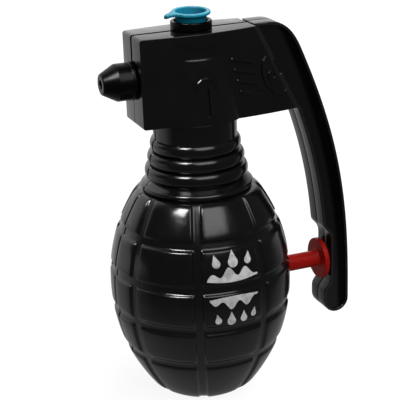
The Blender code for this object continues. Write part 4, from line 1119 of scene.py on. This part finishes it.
class Nodes:
    """A node tree with short calls for what the surfaces, the room and the lamps share."""

    def __init__(self, tree):
        self.tree = tree

    def feed(self, source, target):
        """Links a socket to an input, or sets a plain value there."""
        if isinstance(source, bpy.types.NodeSocket):
            self.tree.links.new(source, target)
        else:
            target.default_value = source

    def add(self, kind, inputs, **settings):
        """Adds a node, makes its settings, feeds its inputs by name or number, and returns its outputs."""
        node = self.tree.nodes.new(kind)
        for name, value in settings.items():
            setattr(node, name, value)
        for name, source in inputs.items():
            self.feed(source, node.inputs[name])
        return node.outputs

    def spread(self, source, low, high, from_low=0.3, from_high=0.7, blend="LINEAR"):
        """Maps one range of a value, by default that of a noise, onto another."""
        inputs = {"Value": source, "From Min": from_low, "From Max": from_high, "To Min": low, "To Max": high}
        return self.add("ShaderNodeMapRange", inputs, interpolation_type=blend)["Result"]

    def split(self, source):
        return self.add("ShaderNodeSeparateXYZ", {"Vector": source})

    def math(self, operation, *sources):
        return self.add("ShaderNodeMath", dict(enumerate(sources)), operation=operation)["Value"]

    def vector(self, operation, *sources):
        result = "Value" if operation in ("LENGTH", "DOT_PRODUCT") else "Vector"
        return self.add("ShaderNodeVectorMath", dict(enumerate(sources)), operation=operation)[result]

    def size(self, source):
        return self.math("ABSOLUTE", source)

    def parted_view(self, gloss_share, hidden, seen):
        """Shows one shader to the camera, clear pieces and a share of the gloss, and another to the rest."""
        path = self.add("ShaderNodeLightPath", {})
        straight = self.math("MAXIMUM", path["Is Camera Ray"], path["Is Transmission Ray"])
        glossy = self.math("MULTIPLY", path["Is Glossy Ray"], gloss_share)
        share = self.math("MAXIMUM", straight, glossy)
        return self.add("ShaderNodeMixShader", {"Fac": share, 1: hidden, 2: seen})["Shader"]


class Graph(Nodes):
    """A material's node tree."""

    def __init__(self, name):
        self.material = bpy.data.materials.new(name)
        self.material.use_nodes = True
        super().__init__(self.material.node_tree)
        self.shader = self.tree.nodes["Principled BSDF"]
        coordinates = self.add("ShaderNodeTexCoord", {})
        self.place = coordinates["Object"]
        self.facing = coordinates["Normal"]

    def noise(self, scale, detail=2.0, roughness=0.5):
        inputs = {"Vector": self.place, "Scale": scale, "Detail": detail, "Roughness": roughness}
        return self.add("ShaderNodeTexNoise", inputs)["Fac"]

    def drift(self, most=1.0):
        """A share that wanders slowly over the surface."""
        return self.spread(self.noise(scale=90.0, detail=3.0), 0.0, most)

    def tint(self, share, low, high):
        """Mixes two tones, the first of which may come from another mix."""
        first = low if isinstance(low, bpy.types.NodeSocket) else (*low, 1.0)
        inputs = {"Factor": share, "A": first, "B": (*high, 1.0)}
        return self.add("ShaderNodeMix", inputs, data_type="RGBA")["Result"]

    def bumps(self, *layers):
        """Stacks (height, strength, distance) layers of bump."""
        inputs = {}
        for height, strength, distance in layers:
            inputs.update({"Height": height, "Strength": strength, "Distance": distance})
            inputs["Normal"] = self.add("ShaderNodeBump", inputs)["Normal"]
        self.feed(inputs["Normal"], self.shader.inputs["Normal"])

    def dress(self, **values):
        """Feeds the shader's inputs by name and returns the material."""
        for name, value in values.items():
            self.feed(value, self.shader.inputs[name.replace("_", " ")])
        return self.material


def skin(name, rough, wave, peel=0.1):
    """A moulded surface: uneven gloss, smoother level tops, sink marks, slow waves and fine orange peel."""
    graph = Graph(name)
    gloss = graph.spread(graph.noise(scale=260.0, detail=4.0, roughness=0.6), *rough)
    level = graph.spread(graph.split(graph.facing)["Z"], 1.0, POLISH, *LEVEL_FACING)
    graph.dress(Roughness=graph.math("MULTIPLY", gloss, level))
    graph.bumps(
        (graph.noise(scale=120.0, detail=1.0), wave, 0.0004),
        (graph.noise(scale=420.0, detail=1.0), wave, 0.0001),
        (graph.noise(scale=2600.0), peel, 0.00003),
    )
    return graph


def moulded(name, tones, rough, wave, peel=0.1, specular=0.5):
    """Moulded plastic or rubber whose tone drifts a little."""
    graph = skin(name, rough, wave, peel)
    return graph.dress(Base_Color=graph.tint(graph.drift(), *tones), Specular_IOR_Level=specular)


def casing_plastic(name):
    """Black plastic, with a painted highlight that makes it paler along the head's slanted edge beside the
    lever.
    """
    graph = skin(name, rough=(0.13, 0.2), wave=0.3)
    along = graph.vector("DOT_PRODUCT", graph.place, (1.0, 0.0, HEAD_SLOPE))
    edge = HEAD_REAR + HEAD_SLOPE * HEAD_BOTTOM
    # Painted highlight: a paler strip on the head's sides along its slanted edge, in place of light on that
    # edge.
    near = graph.spread(along, 0.0, 1.0, edge - EDGE_HIGHLIGHT_WIDTH, edge - EDGE_HIGHLIGHT_WIDTH / 2)
    on_side = graph.spread(graph.size(graph.split(graph.facing)["Y"]), 0.0, 1.0, *SIDE_FACING)
    share = graph.math("MAXIMUM", graph.math("MULTIPLY", near, on_side), graph.drift(DRIFT_SHARE))
    return graph.dress(Base_Color=graph.tint(share, *CASING_TONES))


def lever_plastic(name):
    """Black plastic with painted shade, dark and dull in a band down the lever's back found as the distance
    from an arc and on its inner face, and a painted highlight on its raised rim.
    """
    graph = skin(name, rough=(0.14, 0.22), wave=0.1)
    run = LEVER_REACH - HEAD_REAR - SHOULDER_BACK
    rise = HEAD_TOP - SHOULDER_DROP - FOOT_TOP
    bend = (run**2 + rise**2) / (2 * run)
    offset = graph.vector("SUBTRACT", graph.place, (LEVER_REACH - bend, 0.0, FOOT_TOP))
    above = graph.vector("MAXIMUM", offset, (-WIDE, -WIDE, 0.0))
    reach = graph.vector("LENGTH", graph.vector("MULTIPLY", above, (1.0, 0.0, 1.0)))
    # Painted shade: side faces darken and dull in a band just inside the arc of the lever's back.
    inner = graph.spread(reach, 1.0, 0.0, bend - SHADE_BAND_START, bend - SHADE_BAND_END)
    facing = graph.split(graph.facing)
    edge_on = graph.spread(graph.size(facing["Y"]), 1.0, 0.0, *FLANK_FACING)
    # Painted shade on faces turned towards -X, the lever's inner face, which keep only a share of the lit tone
    # and shine.
    away = graph.spread(facing["X"], INNER_LIT_SHARE, 1.0, *INNER_FACING)
    share = graph.math("MULTIPLY", graph.math("MAXIMUM", edge_on, inner), away)
    # Painted highlight: the raised rim gets a paler tone.
    sunk = LEVER_HALF - LEVER_SINK
    out = graph.size(graph.split(graph.place)["Y"])
    rim_highlight = graph.spread(out, 0.0, 1.0, sunk + LEVER_SINK / 3, LEVER_HALF - LEVER_EDGE / 3)
    tone = graph.tint(rim_highlight, graph.tint(share, *LEVER_SHADED_AND_LIT_TONES), LEVER_RIM_HIGHLIGHT)
    return graph.dress(Base_Color=tone, Specular_IOR_Level=graph.spread(share, 0.1, 0.5, 0.0, 1.0))


def plug_plastic(name):
    """Blue plastic with painted light: paler and glossier on the flange as a painted highlight, with painted
    shade in its hollow and on its stem.
    """
    graph = skin(name, rough=(0.4, 0.5), wave=0.06)
    height = graph.split(graph.place)["Z"]
    reach = graph.vector("LENGTH", graph.vector("MULTIPLY", graph.place, (1.0, 1.0, 0.0)))
    # Painted light and shade: the flange's top and rim get the lit tone and more shine; the hollow and the
    # stem get painted shade.
    above = graph.spread(height, 0.0, 1.0, PLUG_UNDER - PLUG_EDGE, PLUG_UNDER + PLUG_EDGE)
    around = graph.spread(reach, 0.0, 1.0, PLUG_MOUTH, PLUG_MOUTH + PLUG_CHAMFER)
    share = graph.math("MULTIPLY", above, around)
    tone = graph.tint(share, *BLUE_SHADED_AND_LIT_TONES)
    return graph.dress(Base_Color=tone, Specular_IOR_Level=graph.spread(share, 0.08, 0.4, 0.0, 1.0))


def bright_metal(name):
    graph = Graph(name)
    tone = graph.tint(graph.noise(scale=300.0, detail=3.0), *STEEL_TONES)
    rough = graph.spread(graph.noise(scale=1500.0), 0.2, 0.35)
    graph.bumps((graph.noise(scale=4000.0), 0.1, 0.00002))
    return graph.dress(Base_Color=tone, Roughness=rough, Metallic=1.0)


def printed(name):
    """White print with a silvery mottle and worn specks."""
    graph = Graph(name)
    mottle = graph.noise(scale=420.0, detail=4.0, roughness=0.65)
    tone = graph.tint(graph.spread(mottle, 0.0, 1.0, 0.35, 0.6), *PRINT_TONES)
    graph.bumps((graph.noise(scale=1800.0), 0.15, 0.00003))
    return graph.dress(Base_Color=tone, Roughness=graph.spread(mottle, 0.3, 0.5))


def paint_nodes(surface, *names):
    """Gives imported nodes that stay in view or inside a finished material."""
    for name in names:
        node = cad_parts[name]
        node.data.materials.clear()
        node.data.materials.append(surface)


def stage_floor():
    """White floor that takes a faint shadow, and darkens towards the front for what reflects it."""
    bpy.ops.mesh.primitive_plane_add(size=FLOOR_SIZE, location=(0.0, 0.0, FLOOR_LEVEL))
    floor = bpy.context.object
    floor.name = "floor"
    graph = Graph("floor_white")
    away = graph.vector("LENGTH", graph.place)
    brightness = graph.spread(away, FLOOR_NEAR_GLOW, 1.0, *FLOOR_GLOW_FADE)
    glow = graph.add("ShaderNodeEmission", {"Strength": brightness})["Emission"]
    shade = graph.add("ShaderNodeBsdfDiffuse", {"Color": FLOOR_GREY})["BSDF"]
    seen = graph.add("ShaderNodeAddShader", {0: glow, 1: shade})["Shader"]
    dimness = graph.spread(away, FLOOR_NEAR_BOUNCE, FLOOR_FAR_BOUNCE, *FLOOR_BOUNCE_FADE)
    bounce = graph.add("ShaderNodeEmission", {"Strength": dimness})["Emission"]
    behind = graph.spread(graph.split(graph.place)["Y"], 0.0, FLOOR_GLOSS_SHARE, *FLOOR_GLOSS_FADE)
    surface = graph.tree.nodes["Material Output"].inputs["Surface"]
    graph.feed(graph.parted_view(behind, bounce, seen), surface)
    floor.data.materials.append(graph.material)


def studio_world():
    """A white backdrop to the camera and to clear pieces; gloss sees it where it stands, at the back."""
    world = bpy.data.worlds.new("studio")
    bpy.context.scene.world = world
    world.use_nodes = True
    world.node_tree.nodes.clear()
    graph = Nodes(world.node_tree)
    backdrop = graph.add("ShaderNodeBackground", {"Color": (1.0, 1.0, 1.0, 1.0)})["Background"]
    room = graph.add("ShaderNodeBackground", {"Strength": ROOM_LEVEL})["Background"]
    sight = graph.add("ShaderNodeTexCoord", {})["Generated"]
    facing = graph.vector("DOT_PRODUCT", sight, BACKDROP_HEADING)
    share = graph.spread(facing, 0.0, 1.0, BACKDROP_EDGE, BACKDROP_MIDDLE, "SMOOTHSTEP")
    graph.add("ShaderNodeOutputWorld", {"Surface": graph.parted_view(share, room, backdrop)})


def heading(turn, rise):
    """Unit vector in a compass direction, counted from +X towards +Y, and at a rise over the horizon."""
    return Vector((math.cos(turn) * math.cos(rise), math.sin(turn) * math.cos(rise), math.sin(rise)))


def softbox(name, azimuth, elevation, width, height, power):
    """A flat lamp in a direction given in degrees, turned to the object's middle."""
    lamp = bpy.data.lights.new(name, "AREA")
    lamp.shape = "RECTANGLE"
    lamp.size = width
    lamp.size_y = height
    lamp.energy = power
    lamp_object = bpy.data.objects.new(name, lamp)
    bpy.context.scene.collection.objects.link(lamp_object)
    away = heading(math.radians(azimuth), math.radians(elevation))
    lamp_object.location = Vector((0.0, 0.0, AIM_HEIGHT)) + away * LAMP_DISTANCE
    lamp_object.rotation_euler = away.to_track_quat("Z", "Y").to_euler()
    return lamp_object


def feather(lamp):
    """Fades a lamp out towards its edges."""
    lamp.use_nodes = True
    graph = Nodes(lamp.node_tree)
    sides = graph.split(graph.add("ShaderNodeTexCoord", {})["UV"])
    fades = []
    for side in "XY":
        reach = graph.size(graph.math("SUBTRACT", sides[side], 0.5))
        fades.append(graph.spread(reach, 1.0, 0.0, 0.5 - LAMP_FEATHER, 0.5, "SMOOTHSTEP"))
    graph.feed(graph.math("MULTIPLY", *fades), graph.tree.nodes["Emission"].inputs["Strength"])


def photo_camera():
    """The photograph's own view: azimuth, elevation, a slight roll and its focal length in pixels."""
    away = heading(AZIMUTH - math.pi / 2, ELEVATION)
    level = Vector((math.cos(AZIMUTH), math.sin(AZIMUTH), 0.0))
    right = level * math.cos(ROLL) + away.cross(level) * math.sin(ROLL)
    up = away.cross(right)
    data = bpy.data.cameras.new("photo_view")
    data.sensor_width = SENSOR_MM
    data.lens = FOCAL_PIXELS / FRAME_PIXELS * SENSOR_MM
    data.clip_start = 0.01
    camera = bpy.data.objects.new("photo_view", data)
    bpy.context.scene.collection.objects.link(camera)
    turn = Matrix((right, up, away)).transposed().to_4x4()
    aim = right * AIM_RIGHT + Vector((0.0, 0.0, AIM_HEIGHT))
    camera.matrix_world = Matrix.Translation(aim + away * DISTANCE) @ turn
    bpy.context.scene.camera = camera


black = casing_plastic("black_plastic")
black_lever = lever_plastic("black_lever_plastic")
black_fitting = moulded("black_fitting_plastic", FITTING_TONES, rough=(0.2, 0.3), wave=0.08, specular=0.15)
blue = plug_plastic("blue_plastic")
red = moulded("red_plastic", RED_TONES, rough=(0.4, 0.52), wave=0.08, specular=0.1)
white = moulded("white_plastic", WHITE_TONES, rough=(0.35, 0.5), wave=0.05)
rubber = moulded("black_rubber", RUBBER_TONES, rough=(0.6, 0.75), wave=0.05, peel=0.2)
clear = moulded("clear_hose", HOSE_TONES, rough=(0.12, 0.22), wave=0.05, peel=0.05)
steel = bright_metal("bright_steel")
print_white = printed("white_print")

left = casing_half()
piece("shell_left_fine", left, "casing", black, ["left_shell"])
piece("shell_right_fine", mirrored(left), "casing", black, ["right_shell"])
lever_left = lever_half_solid()
piece("lever_left_fine", lever_left, "lever", black_lever, ["lever_left"])
piece("lever_right_fine", mirrored(lever_left), "lever", black_lever, ["lever_right"])
piece("plunger_fine", plunger(), "plunger", red, ["plunger"])
piece("nozzle_fine", nozzle(), "casing", black_fitting, ["nozzle"])
piece("spout_fine", filler_spout(), "casing", black_fitting, ["filler_spout"])
piece("plug_fine", filler_plug(), "plug", blue, ["filler_plug"])
paint_nodes(black_fitting, "gland")
paint_nodes(white, "pump_body", "piston", "inlet_fitting", "outlet_fitting")
paint_nodes(rubber, "nozzle_washer", "piston_seal", "rod_seal")
paint_nodes(steel, "lever_pin", "return_spring", "inlet_ball", "outlet_ball")
paint_nodes(clear, "dip_tube", "outlet_hose")
water_print("print_upper", print_white, UPPER_PRINT_ROW, UPPER_WAVE, UPPER_DROPS)
water_print("print_lower", print_white, LOWER_PRINT_ROW, LOWER_WAVE, LOWER_DROPS)

stage_floor()
studio_world()
window = softbox("window_left", azimuth=-146.5, elevation=52.0, width=0.16, height=0.26, power=3.6)
window.visible_diffuse = False
key = softbox("key_front", azimuth=-86.0, elevation=46.0, width=0.58, height=0.6, power=3.6)
feather(key.data)
fill = softbox("fill_right", azimuth=20.0, elevation=60.0, width=0.5, height=0.5, power=2.0)
fill.visible_glossy = False
photo_camera()
bpy.context.scene.view_settings.view_transform = "Standard"
